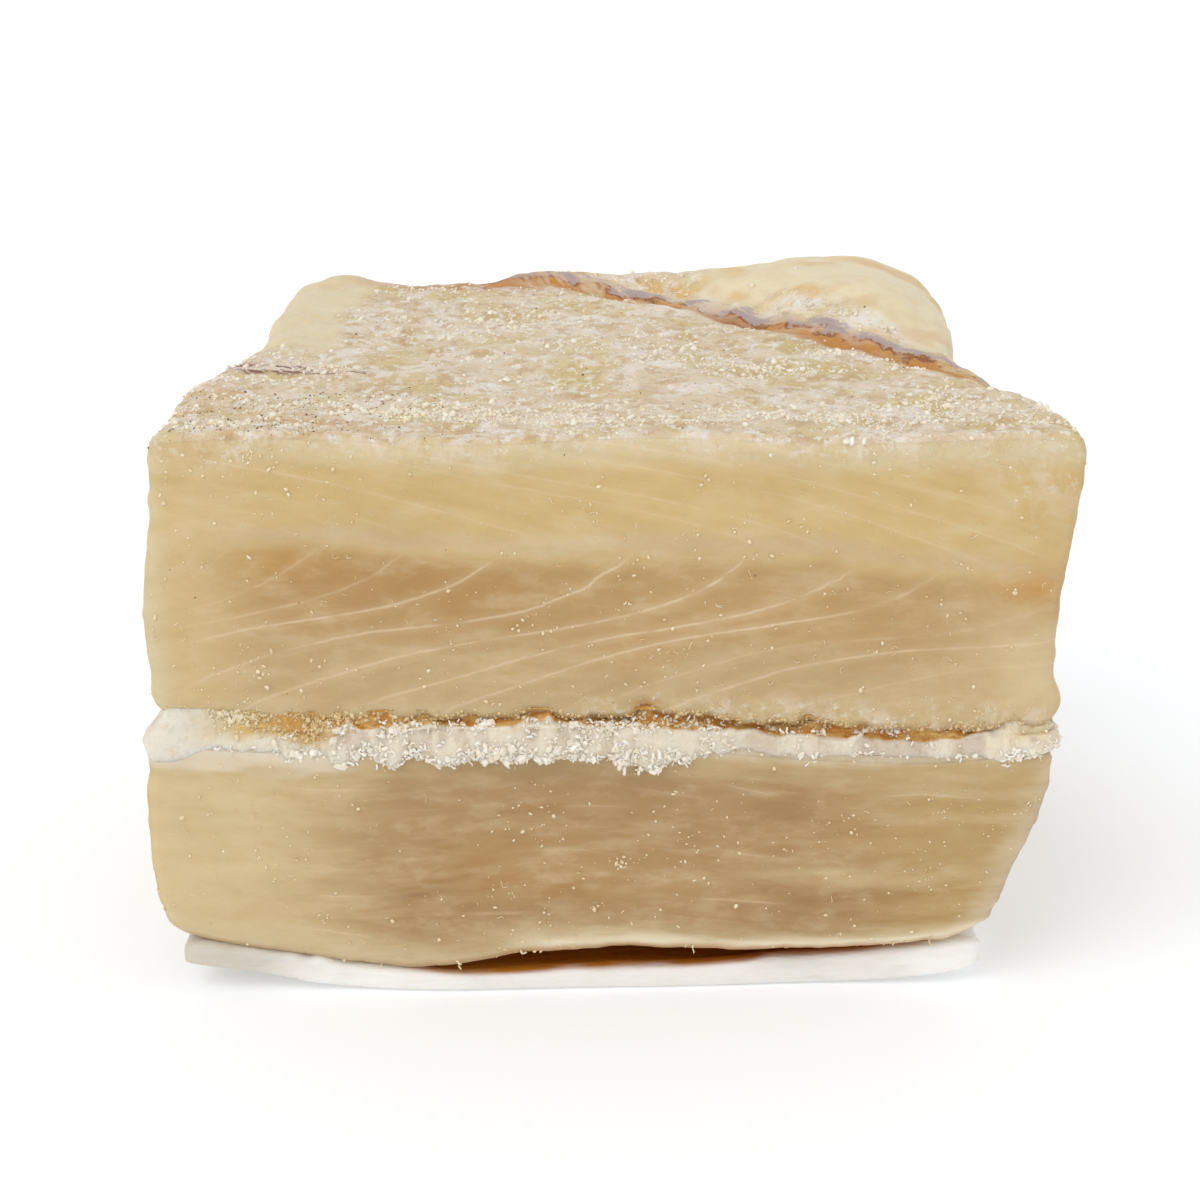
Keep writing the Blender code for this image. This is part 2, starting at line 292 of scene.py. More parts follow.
def lattice(counts):
    """Skin of a block of cells: its points from -1 to 1, its four-sided faces and their map places."""
    corners, places = [], []
    for axis in range(3):
        across, up = [other for other in range(3) if other != axis]
        grids = np.meshgrid(np.arange(counts[across]), np.arange(counts[up]), indexing="ij")
        i, j = (grid.ravel() for grid in grids)
        for side in (0, 1):
            face = np.zeros((len(i), 4, 3), np.int64)
            face[..., axis] = side * counts[axis]
            for corner, (a, b) in enumerate(((0, 0), (1, 0), (1, 1), (0, 1))):
                face[:, corner, across] = i + a
                face[:, corner, up] = j + b
            left, low, width, height, turned = CHARTS[SIDE_NAMES[axis][side]]
            share = face[..., [across, up]] / np.array([counts[across], counts[up]])
            if turned:
                share = share[..., ::-1]
            place = np.array([left, low]) + share * np.array([width, height])
            if (side == 0) != (axis == 1):
                face, place = face[:, ::-1], place[:, ::-1]
            corners.append(face)
            places.append(place)
    corners, places = np.concatenate(corners), np.concatenate(places)
    stride = max(counts) + 1
    key = corners @ np.array([1, stride, stride * stride])
    kept, index = np.unique(key, return_inverse=True)
    cells = np.stack([kept % stride, kept // stride % stride, kept // stride ** 2], 1)
    return 2.0 * cells / np.array(counts) - 1.0, index.reshape(-1, 4), places.reshape(-1, 2)


def normals_of(points, faces):
    """Smooth outward direction at each point."""
    spread = np.cross(points[faces[:, 2]] - points[faces[:, 0]], points[faces[:, -1]] - points[faces[:, 1]])
    total = np.zeros_like(points)
    for corner in range(faces.shape[1]):
        np.add.at(total, faces[:, corner], spread)
    return total / np.maximum(np.linalg.norm(total, axis=1, keepdims=True), 1e-12)


# Kind of a mesh attribute and the name of its values, by how many numbers each point has.
FIELD_KINDS = {1: ("FLOAT", "value"), 3: ("FLOAT_VECTOR", "vector"), 4: ("FLOAT_COLOR", "color")}


def make_piece(name, points, faces, material, slot, replaces=None, places=None, rounded=True, **fields):
    """Mesh object from points in millimetres, with its map and per-point fields, riding on the block."""
    mesh = bpy.data.meshes.new(name)
    mesh.vertices.add(len(points))
    mesh.vertices.foreach_set("co", (points * MILLIMETRE).ravel())
    mesh.loops.add(faces.size)
    mesh.loops.foreach_set("vertex_index", faces.ravel())
    mesh.polygons.add(len(faces))
    mesh.polygons.foreach_set("loop_start", np.arange(len(faces)) * faces.shape[1])
    mesh.update(calc_edges=True)
    if rounded:
        mesh.shade_smooth()
    else:
        mesh.shade_flat()
    if places is not None:
        mesh.uv_layers.new(name="OFBake").uv.foreach_set("vector", places.ravel())
    for field, values in fields.items():
        if field == "tint":
            values = np.column_stack([values, np.ones(len(values))])
        kind, numbers = FIELD_KINDS[values.size // len(values)]
        mesh.attributes.new(field, kind, "POINT").data.foreach_set(numbers, values.ravel())
    mesh.materials.append(material)
    piece = bpy.data.objects.new(name, mesh)
    bpy.context.scene.collection.objects.link(piece)
    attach(piece, "root")
    if replaces:
        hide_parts(replaces)
    return piece


# ---------------------------------------------------------------- material nodes

class Graph:
    """Short way to write the nodes of one material."""

    def __init__(self, name):
        self.material = bpy.data.materials.new(name)
        self.material.use_nodes = True
        self.tree = self.material.node_tree
        self.tree.nodes.clear()

    def node(self, kind, inputs, **settings):
        made = self.tree.nodes.new("ShaderNode" + kind)
        for name, value in settings.items():
            setattr(made, name, value)
        for socket, value in inputs.items():
            if isinstance(value, bpy.types.NodeSocket):
                self.tree.links.new(value, made.inputs[socket])
            else:
                made.inputs[socket].default_value = value
        return made

    def field(self, name, output="Vector"):
        return self.node("Attribute", {}, attribute_name=name).outputs[output]

    def place(self):
        """Place on the object in millimetres."""
        return self.scaled(self.node("TexCoord", {}).outputs["Object"], (1000.0, 1000.0, 1000.0))

    def scaled(self, vector, factors):
        return self.node("VectorMath", {0: vector, 1: factors}, operation="MULTIPLY").outputs[0]

    def split(self, vector):
        return self.node("SeparateXYZ", {0: vector}).outputs

    def maths(self, operation, first, second):
        return self.node("Math", {0: first, 1: second}, operation=operation).outputs[0]

    def plus(self, first, second):
        return self.maths("ADD", first, second)

    def minus(self, first, second):
        return self.maths("SUBTRACT", first, second)

    def times(self, first, second):
        return self.maths("MULTIPLY", first, second)

    def ramp(self, value, low, high, start=0.0, end=1.0):
        inputs = {0: value, 1: low, 2: high, 3: start, 4: end}
        return self.node("MapRange", inputs, interpolation_type="SMOOTHSTEP").outputs[0]

    def noise(self, vector, size, detail=2.0, roughness=0.5):
        """Noise whose features are about size apart; size is one length or one for each axis."""
        size = (size, size, size) if isinstance(size, (int, float)) else size
        vector = self.scaled(vector, tuple(1.0 / length for length in size))
        inputs = {"Vector": vector, "Scale": 1.0, "Detail": detail, "Roughness": roughness}
        return self.node("TexNoise", inputs).outputs[0]

    def grit(self, vector, size):
        """Distance to the nearest of scattered points about one size apart."""
        vector = self.scaled(vector, (1.0 / size,) * 3)
        return self.node("TexVoronoi", {"Vector": vector, "Scale": 1.0}).outputs["Distance"]

    def blend(self, share, first, second, kind="MIX"):
        first, second = (tuple(value) + (1.0,) if isinstance(value, (tuple, np.ndarray)) else value
                         for value in (first, second))
        made = self.node("Mix", {0: share, 6: first, 7: second}, data_type="RGBA", blend_type=kind)
        return made.outputs[2]

    def patched(self, colour, pattern, low, high, most, coat, kind="MIX", within=None):
        """Colour under a coat that grows with a pattern from low to high, and only within a share."""
        share = self.ramp(pattern, low, high, 0.0, most)
        if within is not None:
            share = self.times(share, within)
        return self.blend(share, colour, coat, kind)

    def bump(self, height, distance, strength=1.0, normal=None):
        inputs = {"Height": height, "Distance": distance * MILLIMETRE, "Strength": strength}
        if normal is not None:
            inputs["Normal"] = normal
        return self.node("Bump", inputs).outputs[0]

    def finish(self, inputs, glow=None):
        """Material with these shader inputs; glow is the share, reach and colours of light spread inside."""
        if glow:
            names = ("Subsurface Weight", "Subsurface Scale", "Subsurface Radius")
            inputs = {**inputs, **dict(zip(names, glow))}
        shader = self.node("BsdfPrincipled", inputs)
        self.node("OutputMaterial", {0: shader.outputs[0]})
        return self.material


# ---------------------------------------------------------------- the upper slab's flesh

# Pale line along the middle of the cut face, as (distance across, height).
SEPTUM = [(-62, 63.6), (-40, 64.1), (-14, 63.1), (12, 63.0), (25, 62.6), (38, 61.4), (51, 60.0), (62, 58.2)]
# How far a flake's edge has dropped below the septum, or risen above it, left of where it meets it.
FLAKE_DROP = [(0, 0.0), (6, 4.5), (12, 7.3), (22, 9.9), (36, 12.4), (46, 15.0), (58, 19.2), (90, 31),
              (200, 70)]
FLAKE_RISE = [(0, 0.0), (8, 2.6), (20, 5.6), (45, 10.5), (90, 18.0), (200, 36.0)]
# Where flake edges meet the septum, and how clearly each shows.
EDGES_BELOW = [(-75, 0.2), (-60, 0.2), (-47, 0.3), (-36, 0.3), (-24.3, 0.5), (-12.6, 0.95), (4.4, 1.0),
               (20.2, 0.9), (34.5, 0.9), (44.7, 0.85), (63, 0.3), (74, 0.7), (90, 0.3), (112, 0.3),
               (200, 0.2)]
EDGES_ABOVE = [(-80, 0.1), (-60, 0.1), (-38, 0.1), (-20, 0.15), (-3, 0.35), (11, 0.1), (23, 0.3), (32, 0.4),
               (53, 0.45), (67, 0.45), (85, 0.25), (110, 0.15), (200, 0.15)]
# How far the flake edges shift across for each unit of depth behind the cut.
DEPTH_SHIFT = 0.45
# Furthest run of a flake edge, and the samples taken along it.
FLAKE_REACH, FLAKE_SAMPLES = 200.0, 801

# Diagonal crease across the top, where a fold of flesh lies over the loin, as (distance across, depth).
CREASE = [(-34, 46.5), (-16, 44.5), (-8, 43.0), (0, 39.5), (6.5, 34.5), (12, 29.0), (18, 23.0), (23.5, 16.5),
          (29, 10.8), (37, 2.5), (42.5, -3.5), (49.0, -11.0), (54.0, -20.0)]

RIM = tone(218, 203, 170)
YELLOW = tone(209, 183, 130)
SEPTUM_TONE = tone(206, 182, 143)
AMBER = tone(180, 139, 85)
TAN = tone(187, 154, 106)
SAND = tone(196, 170, 128)
IVORY = tone(214, 189, 143)
CREAM = tone(220, 202, 174)
OLIVE = tone(207, 186, 128)
BLUSH = tone(231, 218, 206)
LUMP = tone(230, 216, 180)
MEMBRANE = tone(172, 156, 154)
RUST = tone(194, 136, 66)
RUST_EDGE = tone(144, 86, 46)
DEEP_RED = tone(132, 56, 20)
VEIN = tone(132, 92, 82)
WHITE_SALT = tone(236, 231, 224)
# Painted shade: orange-brown of the shaded crevice, laid on the upper slab's underside and in its pits.
CREVICE_SHADE = tone(214, 148, 70)
WARMTH = np.array([0.95, 0.93, 0.87])


def flake_fields(points, depth):
    """Which flake each point is in: its edges' phase, spacing and strength, and the grain's directions."""
    x, _, z = points.T
    shift = DEPTH_SHIFT * depth + (0.6 + 0.06 * depth) * noise(points, (38, 45, 26), 3)
    shift += 0.45 * noise(points, (11, 30, 8), 4)
    drop = through(SEPTUM, x) - z
    run = np.linspace(0.0, FLAKE_REACH, FLAKE_SAMPLES)
    sets = []
    for sign, curve, edges in ((1.0, FLAKE_DROP, EDGES_BELOW), (-1.0, FLAKE_RISE, EDGES_ABOVE)):
        fall = through(curve, run)
        back = np.interp(sign * drop, fall, run)
        slope = np.interp(back, run, np.gradient(fall, run))
        meet = x + back + shift
        places, clear = np.array(edges, float).T
        phase = np.interp(meet, places, np.arange(len(places)))
        cell = np.clip(phase.astype(int), 0, len(places) - 2)
        pitch = (places[cell + 1] - places[cell]) * slope / np.sqrt(1.0 + slope ** 2)
        sets.append((phase, pitch, clear[np.rint(phase).astype(int)], meet))
    phase, pitch, strength, meet = (np.where(drop > 0.0, below, above) for below, above in zip(*sets))
    patchy = 0.75 + 0.35 * noise(points, (13, 30, 13), 5)
    fade = smooth(0.3, 2.5, np.abs(drop)) * smooth(-58, -49, x) * smooth(62, 52, x)
    septa = np.stack([phase, pitch, strength * patchy * fade], 1)
    grain = np.stack([x, meet * 0.33, depth], 1)
    return septa, grain, drop


def upper_cut_tint(points, drop, below_top):
    """Colour of the cut flesh, from its height under the top and its place across."""
    x, _, z = points.T
    cloud = noise(points, (26, 30, 9), 11)
    drop = drop + 0.9 * noise(points, (9, 20, 9), 16) + 0.4 * noise(points, (3.2, 9, 3.2), 17)
    amber = smooth(-0.6, 4.0, drop) * smooth(14.0, 4.0, drop) * bell(x, -29.0, 26.0)
    haze = bell(drop + 0.4 * cloud, -0.9, 1.4 + 0.5 * bell(x, 20.0, 18.0))
    torn = smooth(50.5, 53.5, x + 0.8 * noise(points, (3, 9, 3), 18))
    flake = smooth(55.0, 50.0, z + 0.35 * (60.0 - x)) * torn
    colour = painted(
        YELLOW,
        (RIM, smooth(5.5, 1.2, below_top + 1.2 * cloud)),
        (TAN, smooth(-0.5, 3.5, drop) * 0.9),
        (AMBER, amber * (0.8 + 0.3 * noise(points, (12, 20, 4), 19))),
        (tone(200, 158, 90), bell(x, -45.0, 7.0) * bell(drop, 2.6, 2.4) * 0.6),
        (SAND, smooth(9.0, 19.0, drop + 2.0 * cloud)),
        (tone(208, 184, 143), smooth(38.0, 58.0, x) * smooth(0.0, 8.0, drop)),
        (SEPTUM_TONE, haze * (0.85 + 0.4 * noise(points, (9, 20, 9), 13))),
        (tone(214, 192, 152), flake * 0.8),
        (tone(198, 152, 88), bell(x, 56.0, 5.0) * bell(z, 58.0, 2.6) * 0.8),
        (IVORY, smooth(-42.0, -57.0, x + 3.0 * cloud) * 0.9),
        (tone(212, 193, 156), smooth(44.0, 39.5, z) * 0.8),
        (tone(214, 206, 176), smooth(-56.5, -61.0, x) * 0.7),
        (tone(216, 202, 170), smooth(0.15, 0.8, layered(points, (14, 14, 5.0), 14)) * 0.2),
        (tone(196, 150, 88), smooth(0.2, 0.8, layered(points, (16, 14, 5.5), 15)) * 0.16))
    return WARMTH * colour * (1.0 + 0.035 * noise(points, (18, 25, 5), 12))[:, None]


def crease_side(points):
    """Distance behind the crease, less than nothing in front of it."""
    x, y, _ = points.T
    route = through(CREASE, x)
    lean = through(CREASE, x + 0.5) - through(CREASE, x - 0.5)
    wander = 0.9 * noise(points * np.array([1.0, 1.0, 0.0]), (8, 8, 9), 36)
    return (y - route) / np.sqrt(1.0 + lean ** 2) + wander


def membrane_side(points):
    """Distance behind the short dark membrane at the left of the top, far away past its ends."""
    x, y, _ = points.T
    streak = y + 10.0 + 0.31 * (x + 53.0) + 0.8 * noise(points * np.array([1.0, 1.0, 0.0]), (6, 6, 9), 25)
    narrowing = 1.0 + 5.0 * smooth(-43.0, -34.0, x)
    return np.where((x > -58.0) & (x < -33.0), streak * narrowing, -FAR_AWAY)


def smooth_corner(points):
    """Share of the bare smooth flesh at the back left of the top."""
    x, y, _ = points.T
    ragged = 4.5 * layered(points * np.array([1.0, 1.0, 0.0]), (12, 12, 9), 34)
    return smooth(-37.5, -40.5, x - 0.04 * (y - 20.0) + ragged) * smooth(-5.0, 0.0, y + ragged)


def upper_top_tint(points, side):
    """Colour of the salted top, its crease and the smooth fold behind it."""
    x, y, _ = points.T
    flat = points * np.array([1.0, 1.0, 0.0])
    brown = smooth(-26.0, -38.0, x) * smooth(-12.0, -22.0, y)
    fold = smooth(1.8, 3.0, side) * smooth(-24.0, -8.0, x)
    honey = smooth(0.0, 0.4, layered(flat, (7, 9, 9), 26))
    stain = bell(side, 7.5, 3.0) * smooth(26.0, 34.0, x) * smooth(-0.2, 0.4, layered(flat, (4, 4, 9), 37))
    drifts = bell(side, 4.6, 1.5) * smooth(24.0, 28.0, x) * smooth(46.0, 40.0, x)
    front_drift = bell(side, -5.0, 1.6) * smooth(-4.0, 0.0, x) * smooth(16.0, 10.0, x)
    back_line = smooth(36.5, 40.0, y + 2.0 * noise(flat, (5, 5, 9), 35)) * bell(x, -22.0, 15.0)
    return painted(
        CREAM,
        (OLIVE, smooth(0.0, 0.5, layered(flat, (11, 10, 9), 21)) * 0.8),
        (BLUSH, smooth(0.05, 0.5, layered(flat, (10, 8, 9), 22)) * 0.85),
        (WHITE_SALT, smooth(0.35, 0.6, layered(flat, (7, 6, 9), 28)) * 0.8),
        (tone(196, 168, 128), smooth(0.25, 0.7, layered(flat, (5, 5, 9), 23)) * 0.6),
        (tone(222, 207, 172), smooth_corner(points)),
        (tone(206, 170, 128), brown * smooth(0.0, 0.5, layered(flat, (6, 3, 9), 33)) * 0.8),
        (LUMP, fold * (0.55 + 0.4 * smooth(10.0, 24.0, x))),
        (tone(220, 180, 114), fold * honey * 0.85),
        (tone(214, 180, 136), fold * stain * 0.7),
        (tone(184, 112, 42), bell(side, -0.6, 1.6) * bell(x, 36.0, 9.0)),
        (DEEP_RED, bell(side, -0.7, 1.1) * bell(x, 20.0, 4.0)),
        (WHITE_SALT, drifts * smooth(-0.2, 0.3, noise(flat, (3.0, 2.0, 9.0), 27))),
        (WHITE_SALT, front_drift * 0.7),
        (tone(184, 126, 66), back_line * 0.85),
        (tone(214, 190, 184), bell(membrane_side(points), 2.0, 2.4) * 0.85))


# Swellings of the upper slab's outline, as nudged() takes them.
UPPER_NUDGES = [(-61, -46, 45, 5, 14, 0.8, 0.0), (60, -46, 48, 6, 14, 0.7, 0.0),
                (-56, -46, 38, 6, 9, 0.0, -0.7), (59, -46, 40.5, 4, 9, 2.4, 0.0),
                (57.5, -46, 38, 4.5, 9, 0.0, -2.2), (-57, -22, 82, 14, 14, -0.6, 0.2),
                (56, -34, 81, 13, 13, 0.8, 0.5), (50, -17, 81, 7, 7, 1.0, 0.6),
                (-20, 46, 84, 9, 11, 0.0, 1.2), (-6, 46, 84, 9, 9, 0.0, 1.8),
                (-42, 45, 84, 4, 7, 0.0, 0.8), (-34, 46, 84, 5, 8, 0.0, -0.6),
                (50, 30, 84, 8, 8, 1.3, 0.0), (49, 0, 82, 8, 8, -1.8, 0.0)]
# How many cells the mesh of each layer has across, in depth and in height.
UPPER_CELLS = (176, 112, 78)
LOWER_CELLS = (176, 88, 56)
CRUST_CELLS = (400, 44, 30)
SKIN_CELLS = (200, 84, 12)


def upper_slab():
    """Upper loin: cut flesh at the front and the sides, salted top with its crease, torn lower edge."""
    layer = Layer("upper_loin", rounding_low=(4.2, 1.3, 4.6), rounding_high=(4.2, 4.0, 3.0))
    _, rest, out, depth, faces, places = layer.meshed(UPPER_CELLS)
    x, y, z = rest.T
    top_z, bottom_z = layer.height("top", x, y), layer.height("bottom", x, y)
    septa, grain, drop = flake_fields(rest, depth)
    upward, forward = smooth(0.3, 0.8, out[:, 2]), smooth(0.3, 0.8, -out[:, 1])
    side = crease_side(rest)

    grown = rest.copy()
    flesh = 0.10 * noise(grain, (12, 2.4, 14), 41) + 0.30 * noise(rest, (16, 16, 12), 42)
    flesh += 0.07 * layered(rest, (4.0, 4.0, 3.0), 49)
    rough = 0.55 * layered(rest, (6.0, 4.0, 4.0), 43) + 0.18 * noise(rest, (1.7, 1.9, 1.5), 44)
    calm = 1.0 - 0.5 * smooth(2.0, 5.0, side) * smooth(8.0, 20.0, x)
    sideways = smooth(0.4, 0.8, np.abs(out[:, 0]))
    flesh += 0.28 * layered(rest, (9.0, 4.0, 2.6), 48) * sideways
    grown += out * (flesh * (1.0 - upward) + rough * upward * calm)[:, None]
    band = smooth(-30.0, -12.0, x) * upward
    wander = side + 0.5 * noise(rest, (3.0, 3.0, 9.0), 45)
    ridge = 0.45 * bell(wander, 1.7, 1.2) - 0.8 * bell(wander, -0.4, 0.9) - 0.3 * bell(wander, -2.0, 1.5)
    grown[:, 2] += ridge * band
    grown += nudged(rest, UPPER_NUDGES) - rest
    edge = forward * bell(z - bottom_z, 0.0, 1.5) * smooth(-60.0, -52.0, x) * smooth(60.0, 55.0, x)
    crumble = np.clip(0.3 + 1.2 * layered(rest, (2.0, 4.0, 9.0), 46, 2), 0.0, 1.3)
    grown[:, 2] += edge * (1.1 * crumble - 1.4)
    grown[:, 1] += 0.6 * edge * crumble
    pit = sum(bell(x, place, size) for place, size in ((5.2, 1.3), (27.0, 1.2))) * forward
    grown[:, 1] += 1.5 * pit * bell(z - bottom_z, 0.4, 1.4)

    tint = mix(upper_cut_tint(rest, drop, top_z - z), upper_top_tint(rest, side), upward)
    # Painted shade: the pits and the downward faces tinted orange-brown as if in the crevice's shadow.
    tint = painted(tint, (CREVICE_SHADE, pit * bell(z - bottom_z, 0.4, 1.2)),
                   (CREVICE_SHADE, smooth(-0.7, -0.95, out[:, 2]) * 0.8))
    crease = bell(side, 0.4, 2.2) * smooth(-26.0, -10.0, x)
    smooth_fold = smooth(2.0, 4.0, side) * smooth(8.0, 20.0, x)
    back_left = smooth_corner(rest)
    spill = forward * smooth(5.0, 0.5, top_z - z + 1.5 * noise(rest, (7, 7, 7), 47)) * 0.45
    drifts = bell(side, 4.4, 2.0) * smooth(22.0, 27.0, x) * smooth(48.0, 42.0, x)
    bare = np.maximum(np.maximum(smooth_fold - drifts, back_left), crease)
    salt = np.maximum(upward, spill) * (1.0 - 0.88 * bare)
    rise = z - bottom_z + 1.5 * noise(rest, (6, 6, 3), 50)
    frost = forward * smooth(-14.0, 4.0, x) * smooth(4.5, 0.5, rise)
    frost += 0.5 * forward * smooth(46.0, 56.0, x) * bell(z, 72.0, 5.0)
    salt = np.maximum(salt, 0.5 * np.clip(frost, 0.0, 1.0))
    septa[:, 2] *= 1.0 - upward
    streak = np.where(upward > 0.3, membrane_side(rest), -FAR_AWAY)
    membranes = np.stack([np.where(upward * band > 0.02, side, -FAR_AWAY), streak, band], 1)
    material = flesh_material("salted_cod_upper_flesh", (11.0, 2.0, 18.0), topped=True)
    make_piece("upper_slab", grown, faces, material, "upper_flesh", "upper_loin", places,
               tint=tint, septa=septa, grain=grain, salt=salt, membranes=membranes,
               ragged=np.full(len(x), 0.18))
    hem = forward * bell(z - bottom_z, 0.3, 0.7) * smooth(60.5, 58.0, x)
    hem *= 0.3 + 0.7 * smooth(-46.0, -40.0, x)
    return {"points": grown, "faces": faces, "salt": upward * (1.0 - 0.97 * bare), "hem": hem,
            "spill": spill, "forward": forward}


# ---------------------------------------------------------------- materials

# Light spread inside: its share, its reach in metres, and how much of the reach red, green and blue have.
FLESH_GLOW = (0.3, 0.0025, (1.0, 0.62, 0.32))
CRUST_GLOW = (0.6, 0.002, (1.0, 0.85, 0.65))
SKIN_GLOW = (0.3, 0.002, (1.0, 0.85, 0.7))
CRYSTAL_GLOW = (0.4, 0.00015, (1.0, 0.92, 0.82))


def salted(graph, colour, salt, place):
    """Colour of flesh under a broken film of salt: pinkish drifts, yellow patches and white crumbs."""
    apart = graph.node("VectorMath", {0: place, 1: (31.0, 17.0, 5.0)}, operation="ADD").outputs[0]
    drifts = graph.noise(place, (5.5, 6.5, 8.0), 5.0, 0.66)
    colour = graph.patched(colour, drifts, 0.50, 0.60, 0.75, BLUSH, within=salt)
    bare = graph.noise(apart, (6.5, 8.0, 9.0), 4.0, 0.64)
    colour = graph.patched(colour, bare, 0.52, 0.62, 0.65, OLIVE, within=salt)
    dull = graph.noise(apart, (2.4, 3.2, 3.0), 4.0, 0.68)
    colour = graph.patched(colour, dull, 0.52, 0.62, 0.6, tone(188, 158, 116), within=salt)
    ledges = graph.maths("ABSOLUTE", graph.minus(graph.noise(apart, (10.0, 6.0, 6.0), 3.0), 0.5), 0.0)
    ledges = graph.times(graph.ramp(ledges, 0.0, 0.012, 0.4, 0.0), graph.ramp(salt, 0.7, 0.95))
    colour = graph.blend(ledges, colour, tone(170, 142, 112))
    flecks = graph.noise(place, (1.5, 2.2, 1.3), 4.0, 0.68)
    return graph.patched(colour, flecks, 0.55, 0.63, 0.75, WHITE_SALT, within=salt)


def banded(graph, colour, value, bounds, coat, *shares):
    """Colour under a coat where a value lies between bounds: start, full, fading and end."""
    start, full, fading, end = bounds
    share = graph.times(graph.ramp(value, start, full), graph.ramp(value, fading, end, 1.0, 0.0))
    for further in shares:
        share = graph.times(share, further)
    return graph.blend(share, colour, coat)


def membraned(graph, colour, place):
    """Colour with the torn grey membrane and rust-brown flesh along the crease and the left streak."""
    side, streak, reach = graph.split(graph.field("membranes"))
    x, y, _ = graph.split(place)
    slanted = graph.node("CombineXYZ", {0: graph.minus(x, y), 1: graph.plus(x, y)}).outputs[0]
    ragged = graph.times(graph.minus(graph.noise(slanted, (7.0, 3.0, 7.0), 5.0, 0.65), 0.5), 4.6)
    patchy = graph.ramp(graph.noise(slanted, (12.0, 2.4, 12.0), 5.0, 0.68), 0.40, 0.54, 0.2, 1.0)
    torn = graph.plus(side, ragged)
    colour = banded(graph, colour, torn, (-2.9, -1.3, 0.1, 0.8), RUST, reach, patchy)
    colour = banded(graph, colour, torn, (0.5, 0.9, 1.5, 2.8), MEMBRANE, reach, patchy)
    colour = banded(graph, colour, torn, (0.2, 0.5, 0.6, 0.9), RUST_EDGE, reach, patchy)
    torn = graph.plus(streak, ragged)
    colour = banded(graph, colour, torn, (-2.2, -1.4, -0.3, 0.4), VEIN, patchy)
    return banded(graph, colour, torn, (1.2, 1.7, 2.4, 3.2), VEIN, patchy)


def flesh_material(name, streak, topped=False):
    """Waxy flesh: ragged streaks of one size along the grain, pale flake edges, and a salted top."""
    graph = Graph(name)
    place, grain, salt = graph.place(), graph.field("grain"), graph.field("salt", "Fac")
    phase, pitch, strength = graph.split(graph.field("septa"))
    colour, ragged = graph.field("tint", "Color"), graph.field("ragged", "Fac")

    broad = graph.noise(grain, (20.0, 3.0, 30.0), 2.0, 0.5)
    colour = graph.patched(colour, broad, 0.42, 0.70, 0.4, (0.92, 0.88, 0.80), "MULTIPLY")
    darker = graph.noise(grain, streak, 4.0, 0.58)
    colour = graph.patched(colour, darker, 0.44, 0.64, 1.0, (0.90, 0.85, 0.76), "MULTIPLY", within=ragged)
    clouds = graph.noise(place, (12.0, 9.0, 2.6), 4.0, 0.58)
    colour = graph.patched(colour, clouds, 0.50, 0.70, 0.22, tone(220, 202, 166))
    mottle = graph.noise(place, (5.5, 9.0, 2.8), 5.0, 0.66)
    colour = graph.patched(colour, mottle, 0.46, 0.66, 0.6, (0.94, 0.91, 0.85), "MULTIPLY")
    colour = graph.patched(colour, mottle, 0.50, 0.32, 0.2, tone(218, 198, 160))

    wobble = graph.times(graph.noise(place, 2.2, 4.0, 0.6), 0.11)
    offset = graph.times(graph.maths("PINGPONG", graph.plus(phase, wobble), 0.5), pitch)
    broken = graph.ramp(graph.noise(place, (5.0, 5.0, 3.0), 4.0), 0.30, 0.54, 0.25, 0.78)
    core = graph.times(graph.ramp(offset, 0.04, 0.34, 1.0, 0.0), broken)
    line = graph.maths("MAXIMUM", core, graph.ramp(offset, 0.1, 1.4, 0.2, 0.0))
    colour = graph.blend(graph.times(line, strength), colour, tone(231, 208, 174))
    if topped:
        colour = membraned(graph, salted(graph, colour, salt, place), place)

    relief = graph.plus(graph.times(broad, 0.3), graph.times(darker, 0.4))
    normal = graph.bump(relief, 0.3, 0.4)
    gritty = graph.plus(graph.noise(place, 0.8, 3.0), graph.noise(place, (1.7, 1.1, 1.3), 4.0, 0.65))
    normal = graph.bump(graph.times(gritty, salt), 0.5, 0.8, normal)
    roughness = graph.ramp(salt, 0.0, 1.0, 0.42, 0.68)
    inputs = {"Base Color": colour, "Roughness": roughness, "Normal": normal, "IOR": 1.42}
    return graph.finish(inputs, FLESH_GLOW)


def crust_material(name):
    """Snow-like crust of fine crystals, with painted shade: darker in the hollows of its lumps, and tan to
    orange-brown in pockets where it sinks into the crevice.
    """
    graph = Graph(name)
    place = graph.place()
    colour, sunken = graph.field("tint", "Color"), graph.field("sunken", "Fac")
    lumps = graph.noise(place, 1.3, 4.0, 0.6)
    shaded = graph.blend(1.0, colour, (0.93, 0.88, 0.80), "MULTIPLY")
    colour = graph.blend(graph.ramp(lumps, 0.30, 0.50), shaded, colour)
    # Painted shade: tan and orange-brown tones in pockets where the crust sinks into the crevice under the
    # upper slab.
    pockets = graph.ramp(graph.noise(place, (3.6, 3.0, 1.4), 5.0, 0.62), 0.46, 0.58)
    shade_tones = graph.blend(pockets, tone(218, 174, 100), tone(198, 134, 50))
    colour = graph.blend(graph.ramp(sunken, 0.25, 0.55), colour, shade_tones)
    normal = graph.bump(graph.plus(lumps, graph.times(graph.grit(place, 0.55), 0.5)), 0.5, 0.6)
    return graph.finish({"Base Color": colour, "Roughness": 0.6, "Normal": normal, "IOR": 1.5}, CRUST_GLOW)


